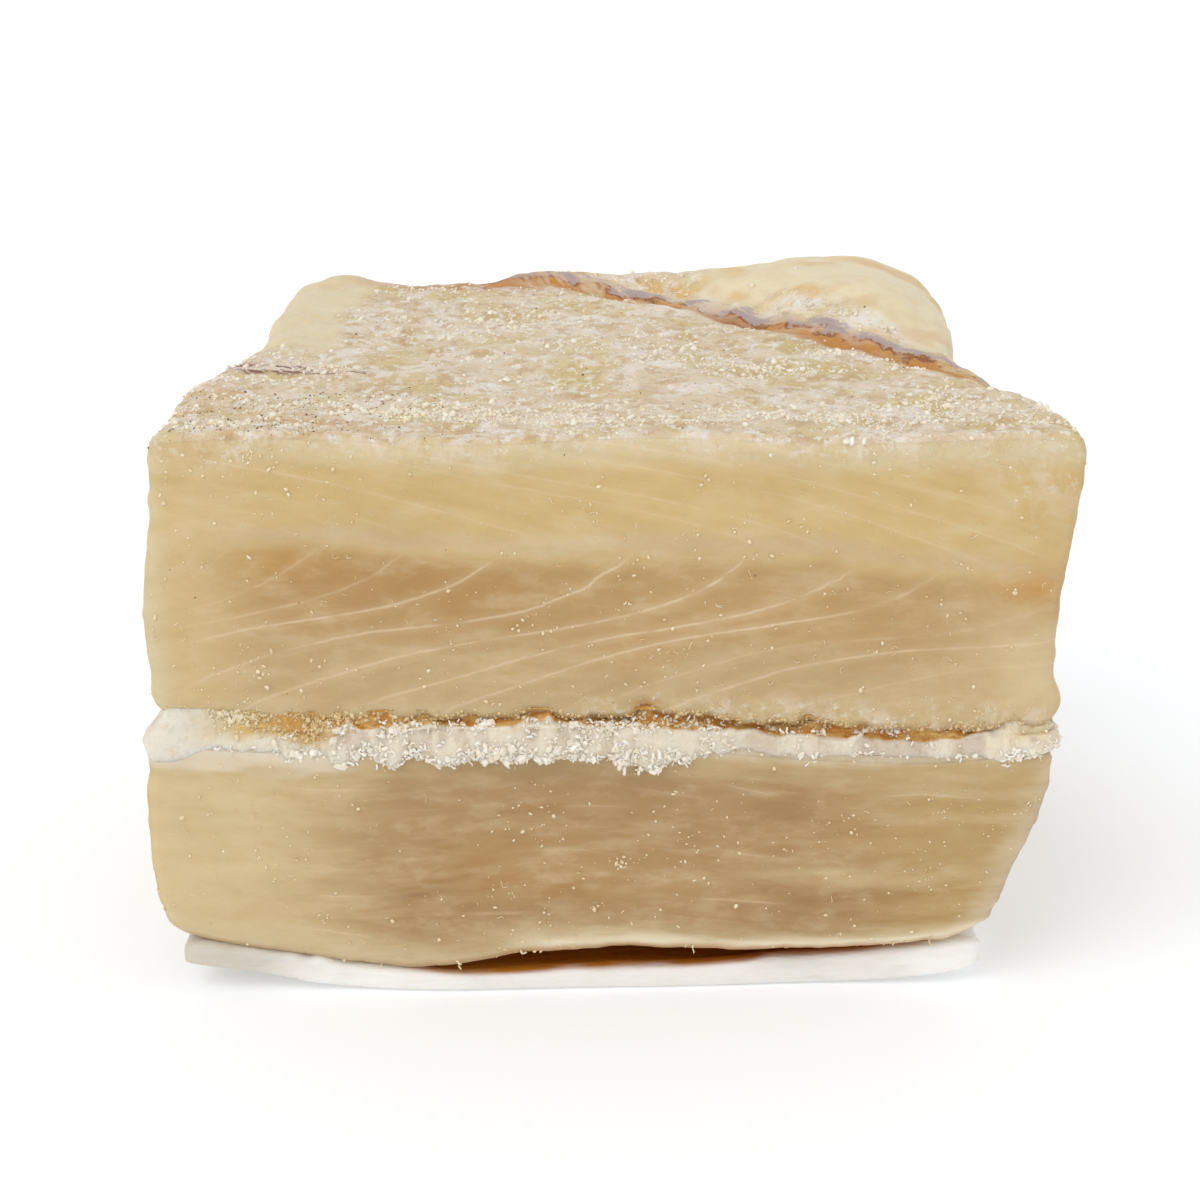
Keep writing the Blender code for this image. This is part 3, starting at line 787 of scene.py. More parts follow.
def skin_material(name):
    """Smooth pale skin with soft grey blotches and faint creases."""
    graph = Graph(name)
    place, colour = graph.place(), graph.field("tint", "Color")
    blotches = graph.noise(place, (14.0, 9.0, 6.0), 3.0)
    colour = graph.patched(colour, blotches, 0.5, 0.72, 0.7, (0.86, 0.87, 0.86), "MULTIPLY")
    wrinkles = graph.noise(place, (5.0, 1.6, 1.0), 4.0, 0.6)
    colour = graph.patched(colour, wrinkles, 0.5, 0.8, 0.5, (0.90, 0.86, 0.80), "MULTIPLY")
    normal = graph.bump(wrinkles, 0.5, 0.7)
    return graph.finish({"Base Color": colour, "Roughness": 0.5, "Normal": normal, "IOR": 1.42}, SKIN_GLOW)


def speck_material(name, roughness):
    """Small loose bits that take their colour from their own tint."""
    graph = Graph(name)
    cloudy, tint = graph.noise(graph.place(), 0.6, 2.0), graph.field("tint", "Color")
    colour = graph.patched(tint, cloudy, 0.4, 0.7, 0.6, (0.92, 0.89, 0.84), "MULTIPLY")
    return graph.finish({"Base Color": colour, "Roughness": roughness, "IOR": 1.5})


def salt_material(name):
    """Bright translucent salt crystals."""
    graph = Graph(name)
    cloudy, tint = graph.noise(graph.place(), 0.5, 2.0), graph.field("tint", "Color")
    colour = graph.patched(tint, cloudy, 0.45, 0.75, 0.5, (0.95, 0.93, 0.90), "MULTIPLY")
    return graph.finish({"Base Color": colour, "Roughness": 0.45, "IOR": 1.5}, CRYSTAL_GLOW)


# ---------------------------------------------------------------- the lower slab's flesh

# How far the near-level streaks of the lower slab rise, along its width.
STREAK_FLOW = [(-64, 1.6), (-51, 0.6), (-41, -2.2), (-28, -1.2), (-14, 1.2), (-4, 2.2), (12, 1.0), (28, -0.6),
               (45, 0.4), (62, 1.2)]
STREAK_SPACING = 3.6
OCHRE = tone(176, 144, 103)


def lower_cut_tint(points, above_bottom, below_top):
    """Colour of the lower slab's flesh, from its height over the bottom and under the top."""
    x, _, z = points.T
    cloud = noise(points, (28, 30, 7), 61)
    level = z + 1.0 * noise(points, (13, 20, 9), 73) - 0.02 * x
    frost = smooth(3.8, 2.6, below_top + 0.8 * noise(points, (5, 9, 2), 71)) * smooth(-30.0, -38.0, x)
    colour = painted(
        OCHRE,
        (tone(192, 163, 112), smooth(24.0, 50.0, x + 5.0 * cloud)),
        (tone(184, 148, 100), bell(x, -6.0, 30.0) * bell(z, 19.0, 7.0) * 0.8),
        (tone(213, 192, 150), smooth(-26.0, -54.0, x + 9.0 * cloud)),
        (tone(198, 175, 132), smooth(6.0, 1.5, below_top + cloud) * 0.8),
        (tone(208, 190, 154), smooth(6.0, 1.2, above_bottom + cloud) * 0.9),
        (tone(222, 213, 198), smooth(1.6, 0.2, below_top + 0.7 * cloud) * 0.8),
        (tone(206, 183, 142), bell(level, 16.6, 1.2) * bell(x, 32.0, 16.0) * 0.85),
        (tone(172, 134, 84), bell(level, 13.9, 1.0) * bell(x, 26.0, 16.0) * 0.5),
        (tone(228, 216, 200), frost * 0.8),
        (tone(218, 205, 184), smooth(56.0, 61.0, x + 0.4 * (34.0 - z)) * 0.6))
    return WARMTH * colour * (1.0 + 0.045 * noise(points, (20, 25, 3.5), 62))[:, None]


# Swellings of the lower slab's outline, as nudged() takes them.
LOWER_NUDGES = [(-60, -46, 35.5, 3, 12, 0.5, -0.3), (-62, -46, 25, 8, 16, 0.4, 0.0),
                (-42, -46, 4, 10, 14, 0.0, 1.2),
                (50, -46, 7, 4, 10, -0.8, 0.4), (57, -46, 24, 8, 16, 0.4, 0.0)]


def lower_slab():
    """Lower loin: streaked flesh with a crack at the left and an arched lower edge over the skin."""
    layer = Layer("lower_loin", rounding_low=(4.2, 1.2, 4.2), rounding_high=(4.2, 4.0, 1.8))
    _, rest, out, depth, faces, places = layer.meshed(LOWER_CELLS)
    x, y, z = rest.T
    top_z, bottom_z = layer.height("top", x, y), layer.height("bottom", x, y)
    flow = through(STREAK_FLOW, x + 0.2 * depth) * bell(z, 20.0, 13.0)
    across = z - flow + 0.8 * noise(rest, (22, 35, 9), 63)
    grain = np.stack([x, across, depth], 1)
    strength = 0.42 * smooth(0.1, 0.7, noise(rest, (11, 30, 3.0), 64)) * smooth(1.5, 4.0, top_z - z)
    phase = (across + 1.3 * noise(rest, (17, 30, 7), 65) + 0.08 * x) / STREAK_SPACING
    septa = np.stack([phase, np.full(len(x), STREAK_SPACING), strength], 1)
    forward = smooth(0.3, 0.8, -out[:, 1])
    downward = smooth(0.3, 0.8, -out[:, 2])

    grown = rest.copy()
    flesh = 0.16 * noise(grain, (13, 2.0, 14), 66) + 0.28 * noise(rest, (15, 15, 9), 67)
    flesh += 0.30 * layered(rest, (9.0, 4.0, 2.4), 69) * smooth(0.4, 0.8, np.abs(out[:, 0]))
    grown += out * flesh[:, None] + nudged(rest, LOWER_NUDGES) - rest
    crack = bell(across, 15.2, 0.5) * bell(x, -25.5, 3.4) * forward
    grown[:, 1] += 0.4 * crack
    rim = forward * bell(z - bottom_z, 0.0, 1.3) * smooth(-44.0, -34.0, x)
    grown[:, 2] += 0.6 * rim * layered(rest, (3.2, 5.0, 9.0), 68, 3)
    lowest, shallow = smooth(4.5, 0.0, z - bottom_z), smooth(30.0, 5.0, depth)
    for lift, start, full in ((0.9, -6.0, 4.0), (0.8, 8.0, 24.0)):
        grown[:, 2] += lift * lowest * smooth(start, full, x) * shallow

    ragged = 0.3 + 0.7 * smooth(-0.3, 0.6, noise(rest, (17, 20, 6), 72))
    pale = forward * bell(z - bottom_z, 1.4, 1.3 + 0.5 * noise(rest, (6, 9, 9), 70)) * smooth(-16.0, -6.0, x)
    # Painted shade: the underside near the bottom, under the arch over the skin, is tinted tan to
    # orange-brown where it shows.
    under = downward * smooth(4.0, 0.0, np.abs(z - bottom_z))
    shown = smooth(45.0, 20.0, depth) * smooth(0.5, 1.8, depth) * smooth(44.0, 36.0, x)
    tint = painted(
        lower_cut_tint(rest, z - bottom_z, top_z - z),
        (tone(230, 219, 192), pale * 0.9),
        # painted shade under the arch
        (tone(206, 180, 140), under * 0.8),
        (tone(178, 103, 20), under * shown * smooth(-24.0, -8.0, x)),
        (tone(140, 98, 54), crack * 0.4))
    salt = smooth(0.3, 0.8, out[:, 2]) * 0.9
    material = flesh_material("salted_cod_lower_flesh", (10.0, 1.9, 18.0))
    make_piece("lower_slab", grown, faces, material, "lower_flesh", "lower_loin", places,
               tint=tint, septa=septa, grain=grain, salt=salt, ragged=smooth(-60.0, -30.0, x) * ragged)
    return {"points": grown, "faces": faces, "forward": forward,
            "rim": forward * bell(z - bottom_z, 0.4, 0.6) * smooth(-24.0, -18.0, x) * smooth(50.0, 44.0, x)}


# ---------------------------------------------------------------- the salt seam

# How thick the crust stands out, and how far it hangs over the lower slab, along the front.
CRUST_SWELL = [(-62, 0.6), (-52, 0.4), (-42, 0.5), (-34, 1.1), (-12, 1.2), (5, 1.4), (12, 0.9), (17, 0.5),
               (24, 0.8), (30, 0.5), (46, 0.4), (54, 0.7), (61, 0.3)]
CRUST_HANG = [(-62, 2.6), (-56, 2.0), (-50, 1.4), (-40, 1.2), (-30, 1.6), (-20, 1.3), (-10, 0.5), (-6, 0.2),
              (0, 0.9), (5, 2.4), (9, 0.8), (17, 0.5), (24, 0.8), (30, 0.5), (46, 0.4), (55, 0.7), (61, 0.2)]
# How deep the crevice under the upper slab is, and at which share of the seam's height it starts;
# orange-brown shade is painted into it.
CREVICE_DEPTH = [(-62, 0.0), (-46, 0.1), (-38, 0.5), (-30, 0.8), (48, 0.8), (54, 0.4), (61, 0.1)]
CREVICE_LEVEL = [(-62, 0.86), (-40, 0.74), (-30, 0.68), (-4, 0.72), (12, 0.6), (24, 0.56), (48, 0.58),
                 (56, 0.86)]
# Half the seam's breadth and depth, for the distance of a place to the seam's rim.
SEAM_HALF_BREADTH, SEAM_HALF_DEPTH = 60.0, 46.0


def ridges(points, size, seed):
    """Sharp crests with hollows between them, from about -0.5 to 1."""
    total = np.zeros(len(points))
    for layer in range(3):
        crest = 1.0 - 2.4 * np.abs(noise(points, np.array(size) / 2.0 ** layer, seed + layer))
        total += 0.6 * crest / 1.8 ** layer
    return total


def salt_crust():
    """Crust of the seam: crisp and ridged along the front, plain at its left end, with a crevice on top."""
    layer = Layer("salt_seam", rounding_low=(2.2, 1.2, 1.2), rounding_high=(2.2, 1.2, 0.8))
    unit, rest, out, depth, faces, places = layer.meshed(CRUST_CELLS)
    x = rest[:, 0]
    level = (unit[:, 2] + 1.0) / 2.0
    front = smooth(3.0, 0.5, depth)
    rim = np.minimum(depth, SEAM_HALF_BREADTH * (1.0 - np.abs(unit[:, 0])))
    rim = np.minimum(rim, SEAM_HALF_DEPTH * (1.0 - unit[:, 1]))
    edge = smooth(0.35, 0.8, np.hypot(out[:, 0], out[:, 1]))
    clump = 0.6 + 0.8 * layered(rest, (4.2, 3.0, 3.4), 81, 3)
    jagged = ridges(rest, (2.0, 1.6, 1.8), 83)
    crisp = smooth(-54.0, -48.0, x)
    low = smooth(0.9, 0.72, level)

    grown = rest.copy()
    start = through(CREVICE_LEVEL, x)
    crevice = smooth(start, start + 0.12, level + 0.16 * layered(rest, (2.2, 3.0, 9.0), 82, 3))
    grown[:, 1] += through(CREVICE_DEPTH, x) * crevice * edge * front
    grown[:, 2] += (0.8 + 0.5 * crisp) * smooth(0.8, 1.0, level) * smooth(9.0, 5.0, rim)
    swell = through(CRUST_SWELL, x) * front + 0.8 * (1.0 - front)
    grown += out * (edge * low * swell * clump)[:, None]
    hang = 0.8 + through(CRUST_HANG, x) * (0.6 + 0.5 * clump) * front
    hang += 0.45 * jagged * crisp
    grown[:, 2] -= hang * smooth(9.0, 5.0, rim) * smooth(0.5, 0.0, level)
    draped = smooth(-36.0, -46.0, x) * front
    tucked = 0.9 * (1.0 - 0.85 * smooth(0.6, 1.1, swell)) * smooth(0.16, 0.0, level) * (1.0 - draped)
    spread = (0.45 + 0.25 * swell) * smooth(0.6, 0.2, level) * (1.0 - 0.35 * draped * smooth(0.4, 0.0, level))
    grown += out * ((spread - tucked) * edge)[:, None]
    left_end = smooth(-51.0, -58.0, x) * smooth(70.0, 30.0, depth)
    grown[:, 0] -= 2.0 * left_end * bell(level, 0.05, 0.5)
    border = 0.45 + 0.55 * smooth(0.35, 0.1, level) + 0.5 * bell(level, 0.74, 0.14)
    grown += out * (0.42 * jagged * border * edge * crisp)[:, None]
    grown[:, 2] += 0.6 * (1.0 - crisp) * front * smooth(0.55, 0.9, level)
    end = smooth(53.0, 58.0, x)
    grown[:, 0] -= 1.2 * end
    grown[:, 1] += 0.9 * end * smooth(0.3, 0.8, level)
    grown[:, 2] -= end * (2.2 + 0.8 * layered(rest, (2.4, 2.4, 2.4), 89)) * smooth(0.3, 1.0, level)
    grown += out * (end * 0.3 * layered(rest, (2.0, 2.0, 1.6), 90, 2) * edge)[:, None]

    # Greyer where the ridges dip and the clumps are thin, and in patches at the right.
    film = smooth(0.45, -0.1, jagged) * smooth(0.9, 0.2, clump)
    film = np.maximum(film, smooth(12.0, 18.0, x) * smooth(0.0, 0.4, noise(rest, (4, 4, 3), 96)) * 0.8)
    ivory = smooth(-33.0, -40.0, x) * crisp * smooth(0.3, 0.55, level + 0.2 * noise(rest, (3, 3, 3), 87))
    gold = bell(x, -41.0, 4.0) * smooth(0.35, 0.6, level + 0.25 * noise(rest, (2, 2, 2), 88))
    sugary = smooth(-57.0, -51.0, x + 2.0 * noise(rest, (3, 3, 3), 97))
    plain = mix(tone(226, 219, 204), tone(220, 201, 158), sugary * smooth(0.15, 0.5, level))
    colour = painted(
        tone(228, 217, 197),
        (tone(206, 190, 171), film),
        (tone(215, 183, 115), ivory * front),
        (tone(206, 154, 76), gold * front),
        (plain, (1.0 - crisp) * front),
        (tone(222, 204, 166), smooth(51.0, 57.0, x) * smooth(0.25, 0.55, level) * front))
    # Share of painted orange-brown shade in the crevice, also where crumbs gather.
    deep = crevice * smooth(0.2, 0.8, through(CREVICE_DEPTH, x)) * front
    make_piece("salt_crust", grown, faces, crust_material("sea_salt_crust"), "salt", "salt_seam", places,
               tint=colour, sunken=deep)
    crust = front * edge * low * crisp * (0.35 + 0.65 * through(CRUST_SWELL, x)) * (1.0 - 0.96 * ivory)
    crust *= 0.3 + bell(level, 0.1, 0.16) + 0.9 * bell(level, 0.72, 0.12)
    crust += 0.16 * (1.0 - front) * edge * low * crisp
    grit = np.clip(ivory * edge * front, 0.0, 1.0)
    return {"points": grown, "faces": faces, "crust": crust, "crevice": deep * edge, "grit": grit}


# ---------------------------------------------------------------- the skin

# Swellings of the skin's outline, as nudged() takes them.
SKIN_NUDGES = [(-58, -46, 5, 6, 14, -1.2, 0.0), (-47, -46, 3, 11, 16, 0.0, 1.3)]


def skin_sheet():
    """White skin under the block, with orange-brown shade painted inside where the flesh arches over it."""
    layer = Layer("skin", rounding_low=(4.0, 1.5, 2.4), rounding_high=(6.0, 2.0, 2.4))
    _, rest, out, depth, faces, places = layer.meshed(SKIN_CELLS)
    x, y, z = rest.T
    bottom_z, top_z = layer.height("bottom", x, y), layer.height("top", x, y)
    low = smooth(0.5, 0.0, (z - bottom_z) / (top_z - bottom_z))
    grown = rest.copy()
    swell = 0.22 * layered(rest, (9.0, 7.0, 4.0), 91)
    lumps = 0.9 * bell(x, -40.5, 3.2) * np.clip(0.3 + noise(rest, (2.2, 3.0, 1.6), 92), 0.0, 1.0)
    grown += out * ((swell + lumps * smooth(8.0, 1.0, depth)) * (1.0 - 0.8 * low))[:, None]
    grown += nudged(rest, SKIN_NUDGES) - rest
    raised = 0.5 * smooth(-20.0, -5.0, x) + 0.9 * smooth(4.0, 22.0, x)
    grown[:, 2] += raised * (1.0 - low) * smooth(5.0, 2.0, depth)

    # Painted shade: the skin's upper face under the arch tinted orange-brown.
    arch_shade = smooth(0.3, 0.8, out[:, 2]) * smooth(0.3, 1.4, depth + 0.6 * noise(rest, (4, 3, 9), 94))
    arch_shade = arch_shade * smooth(45.0, 20.0, depth)
    colour = painted(
        tone(238, 234, 228),
        (tone(246, 243, 239), smooth(-0.4, 0.5, noise(rest, (16, 12, 8), 93))),
        (tone(192, 181, 162), smooth(-36.0, -52.0, x) * 0.7),
        (tone(186, 120, 34), arch_shade * smooth(-30.0, -22.0, x) * smooth(48.0, 38.0, x)))
    make_piece("skin_sheet", grown, faces, skin_material("cod_skin"), "skin", "skin", places, tint=colour)


# ---------------------------------------------------------------- scattered bits

def grain_shape():
    """Corners and faces of a rough grain, a solid of twenty faces."""
    golden = (1.0 + math.sqrt(5.0)) / 2.0
    corners = []
    for a in (-1.0, 1.0):
        for b in (-golden, golden):
            corners += [(0.0, a, b), (a, b, 0.0), (b, 0.0, a)]
    corners = np.array(corners)
    gaps = np.linalg.norm(corners[:, None] - corners[None], axis=2)
    faces = []
    for i in range(12):
        for j in range(i + 1, 12):
            for k in range(j + 1, 12):
                if max(gaps[i, j], gaps[j, k], gaps[i, k]) < 2.1:
                    turn = np.dot(np.cross(corners[j] - corners[i], corners[k] - corners[i]), corners[i])
                    faces.append((i, j, k) if turn > 0.0 else (i, k, j))
    return corners / np.linalg.norm(corners[0]), np.array(faces)


GRAIN_POINTS, GRAIN_FACES = grain_shape()
GRAIN_CORNERS = len(GRAIN_POINTS)


def spots_on(piece, weight, count, rng):
    """Random places on a piece's mesh, more where the weight is high, with the outward direction at each."""
    points, faces = piece["points"], piece["faces"]
    a, b, c, d = (points[faces[:, corner]] for corner in range(4))
    spread = np.cross(c - a, d - b) / 2.0
    area = np.linalg.norm(spread, axis=1)
    share = area * np.clip(weight[faces].mean(axis=1), 0.0, None)
    chosen = rng.choice(len(faces), count, p=share / share.sum())
    u, v = rng.random((2, count, 1))
    place = (a[chosen] * (1 - u) + b[chosen] * u) * (1 - v) + (d[chosen] * (1 - u) + c[chosen] * u) * v
    return place, spread[chosen] / area[chosen, None]


def settled(piece, place):
    """Spots moved onto the nearest place of a piece's mesh, with the outward direction there."""
    tree = BVHTree.FromPolygons(piece["points"].tolist(), piece["faces"].tolist())
    found = [tree.find_nearest(Vector(spot))[:2] for spot in place]
    return tuple(np.array(side) for side in zip(*found))


def patches(piece, size, seed, floor=0.05):
    """Uneven weight over a piece, in patches of about one size."""
    return np.clip(0.25 + layered(piece["points"], size, seed), floor, 1.5)


def turned(count, rng):
    """Random turns, one matrix each."""
    w, x, y, z = (lambda q: q / np.linalg.norm(q, axis=0))(rng.normal(size=(4, count)))
    rows = [1 - 2 * (y * y + z * z), 2 * (x * y - z * w), 2 * (x * z + y * w),
            2 * (x * y + z * w), 1 - 2 * (x * x + z * z), 2 * (y * z - x * w),
            2 * (x * z - y * w), 2 * (y * z + x * w), 1 - 2 * (x * x + y * y)]
    return np.stack(rows, 1).reshape(-1, 3, 3)


def sizes(rng, count, typical, spread, smallest, largest):
    """Random sizes around a typical one, the larger ones rarer."""
    return np.clip(rng.lognormal(math.log(typical), spread, count), smallest, largest)


def grains(name, place, out, size, stretch, rng, tones, material, slot, sink=0.3, rounded=True):
    """One mesh of many rough grains resting on a surface."""
    count = len(place)
    shape = GRAIN_POINTS[None] * rng.uniform(0.62, 1.25, (count, GRAIN_CORNERS, 1))
    lengths = rng.uniform(1.0, stretch, (count, 1, 3)) * [1.0, 0.75, 0.6]
    shape = np.einsum("nij,nkj->nki", turned(count, rng), shape * lengths)
    centre = place + out * (size * (0.5 - sink))[:, None]
    points = centre[:, None] + shape * (size * 0.5)[:, None, None]
    faces = GRAIN_FACES[None] + GRAIN_CORNERS * np.arange(count)[:, None, None]
    tint = mix(tones[0], tones[1], rng.random(count)) * rng.uniform(0.93, 1.03, (count, 1))
    make_piece(name, points.reshape(-1, 3), faces.reshape(-1, 3), material, slot, rounded=rounded,
               tint=np.repeat(tint, GRAIN_CORNERS, axis=0))


# Straight steps in each thread.
THREAD_STEPS = 7


def threads(name, place, heading, length, thick, rng, tones, material, slot):
    """One mesh of short curved threads, each square in section and closed at both ends."""
    count = len(place)
    heading = heading / np.linalg.norm(heading, axis=1, keepdims=True)
    side = np.cross(heading, rng.normal(size=(count, 3)))
    side /= np.linalg.norm(side, axis=1, keepdims=True)
    third = np.cross(heading, side)
    step = np.linspace(0.0, 1.0, THREAD_STEPS + 1)
    angle = rng.uniform(-2.4, 2.4, (count, 1)) * step
    angle = angle + 0.5 * np.sin(9.0 * step + rng.uniform(0, 6, (count, 1)))
    cosine, sine = np.cos(angle)[..., None], np.sin(angle)[..., None]
    forth = heading[:, None] * cosine + side[:, None] * sine
    across = side[:, None] * cosine - heading[:, None] * sine
    spine = place[:, None] + np.cumsum(forth * (length / THREAD_STEPS)[:, None, None], axis=1)
    radius = thick[:, None] * 0.5 * (0.35 + 0.65 * np.sqrt(1.0 - (2.0 * step - 1.0) ** 4))
    ring = [a * across + b * third[:, None] for a, b in ((1, 0), (0, 1), (-1, 0), (0, -1))]
    points = np.stack([spine + radius[..., None] * corner for corner in ring], axis=2)
    faces = []
    for k in range(THREAD_STEPS):
        faces += [(4 * k + c, 4 * k + 4 + c, 4 * k + 4 + (c + 1) % 4, 4 * k + (c + 1) % 4) for c in range(4)]
    last = 4 * THREAD_STEPS
    faces += [(0, 1, 2, 3), (last + 3, last + 2, last + 1, last)]
    each = 4 * (THREAD_STEPS + 1)
    faces = np.array(faces)[None, :, ::-1] + each * np.arange(count)[:, None, None]
    tint = mix(tones[0], tones[1], rng.random(count))
    make_piece(name, points.reshape(-1, 3), faces.reshape(-1, 4), material, slot,
               tint=np.repeat(tint, each, axis=0))


# How many of each loose bit there are.
TOP_GRAINS = 4300
DARK_SPECKS = 330
HEM_CRUMBS, CREVICE_CRUMBS, SUGARY_CRUMBS = 620, 480, 520
CRYSTAL_CLUSTERS, CRYSTALS = 260, 2300
CUT_SHREDS, LOW_SHREDS, RIM_SHREDS = 130, 50, 16
# Kinds of thread: how many, pull outward, spread of direction, fall, range of length, range of thickness.
THREAD_KINDS = ((26, 0.2, (1.0, 0.1, 1.0), 0.0, (1.2, 2.6), (0.25, 0.42)),
                (30, 0.5, (0.5, 0.2, 0.3), 1.0, (0.8, 2.0), (0.35, 0.7)),
                (420, 0.5, (1.0, 0.3, 1.0), 0.0, (0.4, 1.3), (0.18, 0.42)))


def top_salt(upper):
    """Coarse salt over the top, dense along its front and right, with some spilt over the cut."""
    rng = np.random.default_rng(7)
    x, y, _ = upper["points"].T
    dense = (0.8 + 0.8 * smooth(-20.0, -36.0, y) + 0.7 * smooth(10.0, 45.0, x)) * smooth(-48.5, -41.0, y)
    weight = upper["salt"] ** 2 * patches(upper, (12, 5, 9), 101, 0.02) ** 2 * dense
    spill = upper["spill"] * (0.2 + 1.2 * smooth(8.0, 30.0, x)) * patches(upper, (6, 6, 3), 102)
    place, out = spots_on(upper, weight + spill, TOP_GRAINS, rng)
    size = sizes(rng, len(place), 0.32, 0.45, 0.14, 0.9)
    size *= np.where(out[:, 2] < 0.6, 0.5, 1.0)
    grains("top_salt", place, out, size, 2.2, rng, (tone(242, 228, 198), tone(250, 245, 234)),
           speck_material("coarse_salt", 0.5), "salt", sink=0.48)


def cream_specks(upper, lower):
    """Fine bright crumbs of salt on both cut faces, many of them in little groups."""
    rng = np.random.default_rng(11)
    spots = []
    for piece, seeds, count in ((upper, 280, 820), (lower, 190, 560)):
        heart, _ = spots_on(piece, piece["forward"] ** 3 * patches(piece, (9, 9, 7), 111, 0.1), seeds, rng)
        chosen = rng.integers(0, seeds, count) ** 2 // seeds
        scatter = rng.normal(size=(count, 3)) * rng.choice([0.4, 1.6, 5.0], (count, 1)) * [1.0, 0.0, 0.8]
        spots.append(settled(piece, heart[chosen] + scatter))
    place, out = (np.concatenate(parts) for parts in zip(*spots))
    size = sizes(rng, len(place), 0.19, 0.45, 0.09, 0.42)
    grains("cream_specks", place, out, size, 2.6, rng, (tone(234, 208, 158), tone(246, 230, 196)),
           speck_material("salt_crumbs", 0.45), "salt", sink=0.42)


def dark_specks(upper):
    """Peppery specks, most of them over the front left of the top."""
    rng = np.random.default_rng(13)
    x, y, _ = upper["points"].T
    corner = smooth(-16.0, -32.0, x) * smooth(-20.0, -28.0, y)
    weight = upper["salt"] * (0.02 + corner) + 0.01 * upper["forward"]
    place, out = spots_on(upper, weight, DARK_SPECKS, rng)
    size = sizes(rng, len(place), 0.22, 0.3, 0.12, 0.4)
    grains("dark_specks", place, out, size, 1.5, rng, (tone(96, 74, 50), tone(150, 122, 88)),
           speck_material("dark_specks", 0.6), "upper_flesh", sink=0.4)


def hem_crumbs(upper, crust):
    """Granular crumbs along the torn lower edge of the upper slab and in the crevice under it."""
    rng = np.random.default_rng(19)
    edge = spots_on(upper, upper["hem"] * patches(upper, (5, 5, 9), 191, 0.25), HEM_CRUMBS, rng)
    crevice = spots_on(crust, crust["crevice"] * patches(crust, (4, 4, 9), 192, 0.0), CREVICE_CRUMBS, rng)
    sugary = spots_on(crust, crust["grit"] * patches(crust, (4, 4, 2), 193, 0.1), SUGARY_CRUMBS, rng)
    place, out = (np.concatenate(parts) for parts in zip(edge, crevice, sugary))
    pale = smooth(-43.0, -49.0, place[:, 0])
    size = sizes(rng, len(place), 0.36, 0.35, 0.16, 0.85)
    tones = (mix(tone(210, 176, 118), tone(226, 206, 160), pale),
             mix(tone(232, 210, 166), tone(240, 230, 204), pale))
    grains("hem_crumbs", place, out, size, 1.7, rng, tones,
           speck_material("hem_crumbs", 0.5), "salt", sink=0.48)


def seam_crystals(crust):
    """Snow-white crystals crowded along both borders of the crust, in clusters."""
    rng = np.random.default_rng(17)
    crowded = crust["crust"] * patches(crust, (3, 3, 2), 171, 0.1)
    heart, _ = spots_on(crust, crowded, CRYSTAL_CLUSTERS, rng)
    owner = rng.integers(0, len(heart), CRYSTALS)
    place, out = settled(crust, heart[owner] + rng.normal(size=(len(owner), 3)) * [0.6, 0.4, 0.4])
    size = sizes(rng, len(place), 0.34, 0.45, 0.14, 1.0)
    grains("seam_crystals", place, out, size, 2.3, rng, (tone(232, 220, 198), tone(250, 245, 234)),
           salt_material("salt_crystals"), "salt", sink=0.5, rounded=False)


def salt_threads(crust):
    """Branched crystals: curls at the right end, needles hanging in the middle, twigs along the borders."""
    rng = np.random.default_rng(23)
    x = crust["points"][:, 0]
    weights = (crust["crust"] * smooth(50.0, 53.0, x) * smooth(60.0, 57.0, x),
               crust["crust"] * bell(x, 4.5, 3.2),
               crust["crust"] * patches(crust, (3, 3, 2), 172, 0.1))
    counts, pulls, spreads, falls, lengths, widths = zip(*THREAD_KINDS)
    spots = [spots_on(crust, weight, count, rng) for weight, count in zip(weights, counts)]
    place = np.concatenate([spot for spot, _ in spots])
    heading = [out * pull + rng.normal(size=(len(out), 3)) * spread - [0.0, 0.0, fall]
               for (_, out), pull, spread, fall in zip(spots, pulls, spreads, falls)]
    length, thick = (np.concatenate([rng.uniform(*ends, count) for ends, count in zip(kind, counts)])
                     for kind in (lengths, widths))
    threads("salt_threads", place, np.concatenate(heading), length, thick, rng,
            (tone(240, 230, 214), tone(251, 247, 239)), salt_material("salt_needles"), "salt")


def flesh_shreds(upper, lower):
    """Frayed fibres on the cut faces and along the arch over the skin."""
    rng = np.random.default_rng(29)
    x, _, z = upper["points"].T
    frayed = 0.6 + 3.0 * smooth(54.0, 47.0, z) * smooth(-6.0, 12.0, x)
    weight = upper["forward"] ** 3 * patches(upper, (8, 8, 6), 291) * frayed
    cut, _ = spots_on(upper, weight, CUT_SHREDS, rng)
    low, _ = spots_on(lower, lower["forward"] ** 3 * patches(lower, (8, 8, 6), 292), LOW_SHREDS, rng)
    rim, _ = spots_on(lower, lower["rim"], RIM_SHREDS, rng)
    fine = CUT_SHREDS + LOW_SHREDS
    heading = rng.normal(size=(fine + RIM_SHREDS, 3)) * [1.0, 0.02, 0.4]
    heading[fine:, 2] -= 0.4
    length = np.concatenate([rng.uniform(0.5, 1.7, fine), rng.uniform(0.6, 1.5, RIM_SHREDS)])
    thick = np.concatenate([rng.uniform(0.08, 0.16, fine), rng.uniform(0.2, 0.36, RIM_SHREDS)])
    threads("flesh_shreds", np.concatenate([cut, low, rim]), heading, length, thick, rng,
            (tone(232, 206, 158), tone(240, 224, 190)), speck_material("flesh_shreds", 0.5), "lower_flesh")


# ---------------------------------------------------------------- studio

# Camera: place, tilt downward in degrees, focal length and sensor in millimetres.
CAMERA_PLACE = (-0.8, -373.3, 155.3)
CAMERA_TILT = 16.9
CAMERA_LENS = 78.0
SENSOR = 36.0
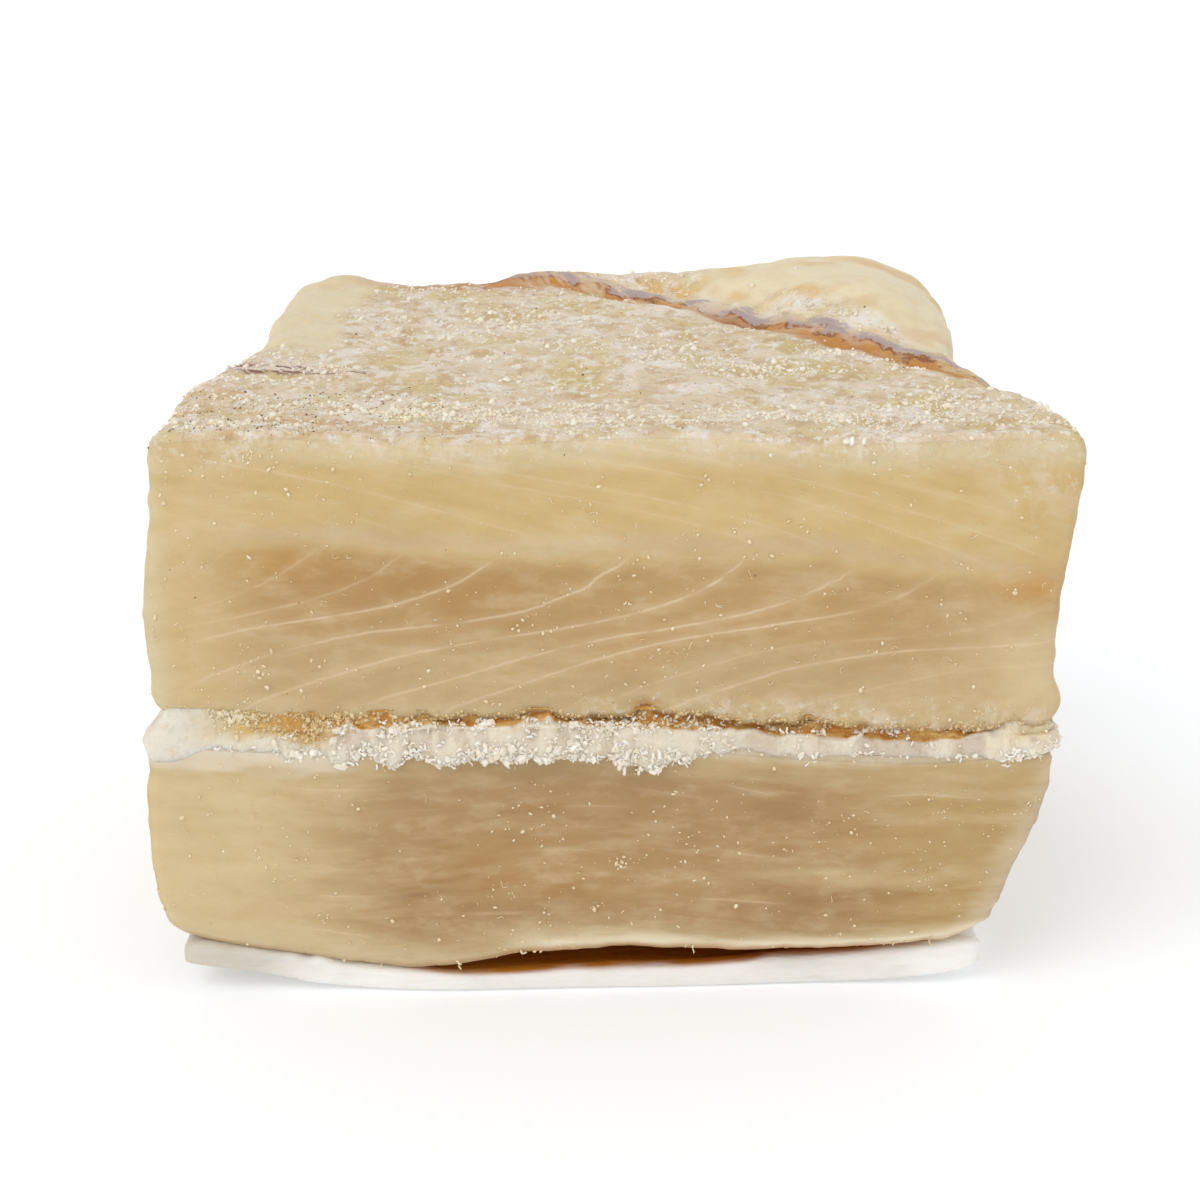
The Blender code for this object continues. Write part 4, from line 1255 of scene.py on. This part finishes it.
# White floor: half its side in metres, its colour and how much it glows.
FLOOR_REACH = 6.0
FLOOR_COLOUR = (0.79, 0.81, 0.83, 1.0)
FLOOR_GLOW = 0.26
WHITE = (1.0, 1.0, 1.0, 1.0)
# Soft light: the sky all round, and one wide sun.
SKY_STRENGTH = 0.80
SUN_FROM = (-0.6, -0.8, 1.1)
SUN_STRENGTH = 0.85
SUN_SPREAD = 38.0


def studio():
    """White floor, soft light and camera."""
    scene = bpy.context.scene
    scene.view_settings.view_transform = "Standard"
    scene.world = bpy.data.worlds.new("soft_sky")
    scene.world.use_nodes = True
    sky = scene.world.node_tree.nodes["Background"]
    sky.inputs["Color"].default_value = WHITE
    sky.inputs["Strength"].default_value = SKY_STRENGTH

    mesh = bpy.data.meshes.new("floor")
    corners = [(-FLOOR_REACH, -FLOOR_REACH, 0), (FLOOR_REACH, -FLOOR_REACH, 0),
               (FLOOR_REACH, FLOOR_REACH, 0), (-FLOOR_REACH, FLOOR_REACH, 0)]
    mesh.from_pydata(corners, [], [(0, 1, 2, 3)])
    graph = Graph("white_floor")
    mesh.materials.append(graph.finish({"Base Color": FLOOR_COLOUR, "Roughness": 0.9,
                                        "Specular IOR Level": 0.1, "Emission Strength": FLOOR_GLOW,
                                        "Emission Color": WHITE}))
    floor = bpy.data.objects.new("floor", mesh)
    scene.collection.objects.link(floor)

    light = bpy.data.lights.new("soft_sun", "SUN")
    light.energy = SUN_STRENGTH
    light.angle = math.radians(SUN_SPREAD)
    lamp = bpy.data.objects.new("soft_sun", light)
    lamp.rotation_euler = Vector(SUN_FROM).to_track_quat("Z", "Y").to_euler()
    scene.collection.objects.link(lamp)

    lens = bpy.data.cameras.new("camera")
    lens.lens = CAMERA_LENS
    lens.sensor_width = SENSOR
    lens.clip_start = 0.01
    camera = bpy.data.objects.new("camera", lens)
    camera.location = Vector(CAMERA_PLACE) * MILLIMETRE
    camera.rotation_euler = (math.radians(90.0 - CAMERA_TILT), 0.0, 0.0)
    scene.collection.objects.link(camera)
    scene.camera = camera


def main():
    upper = upper_slab()
    lower = lower_slab()
    crust = salt_crust()
    skin_sheet()
    top_salt(upper)
    cream_specks(upper, lower)
    dark_specks(upper)
    hem_crumbs(upper, crust)
    seam_crystals(crust)
    salt_threads(crust)
    flesh_shreds(upper, lower)
    studio()


main()
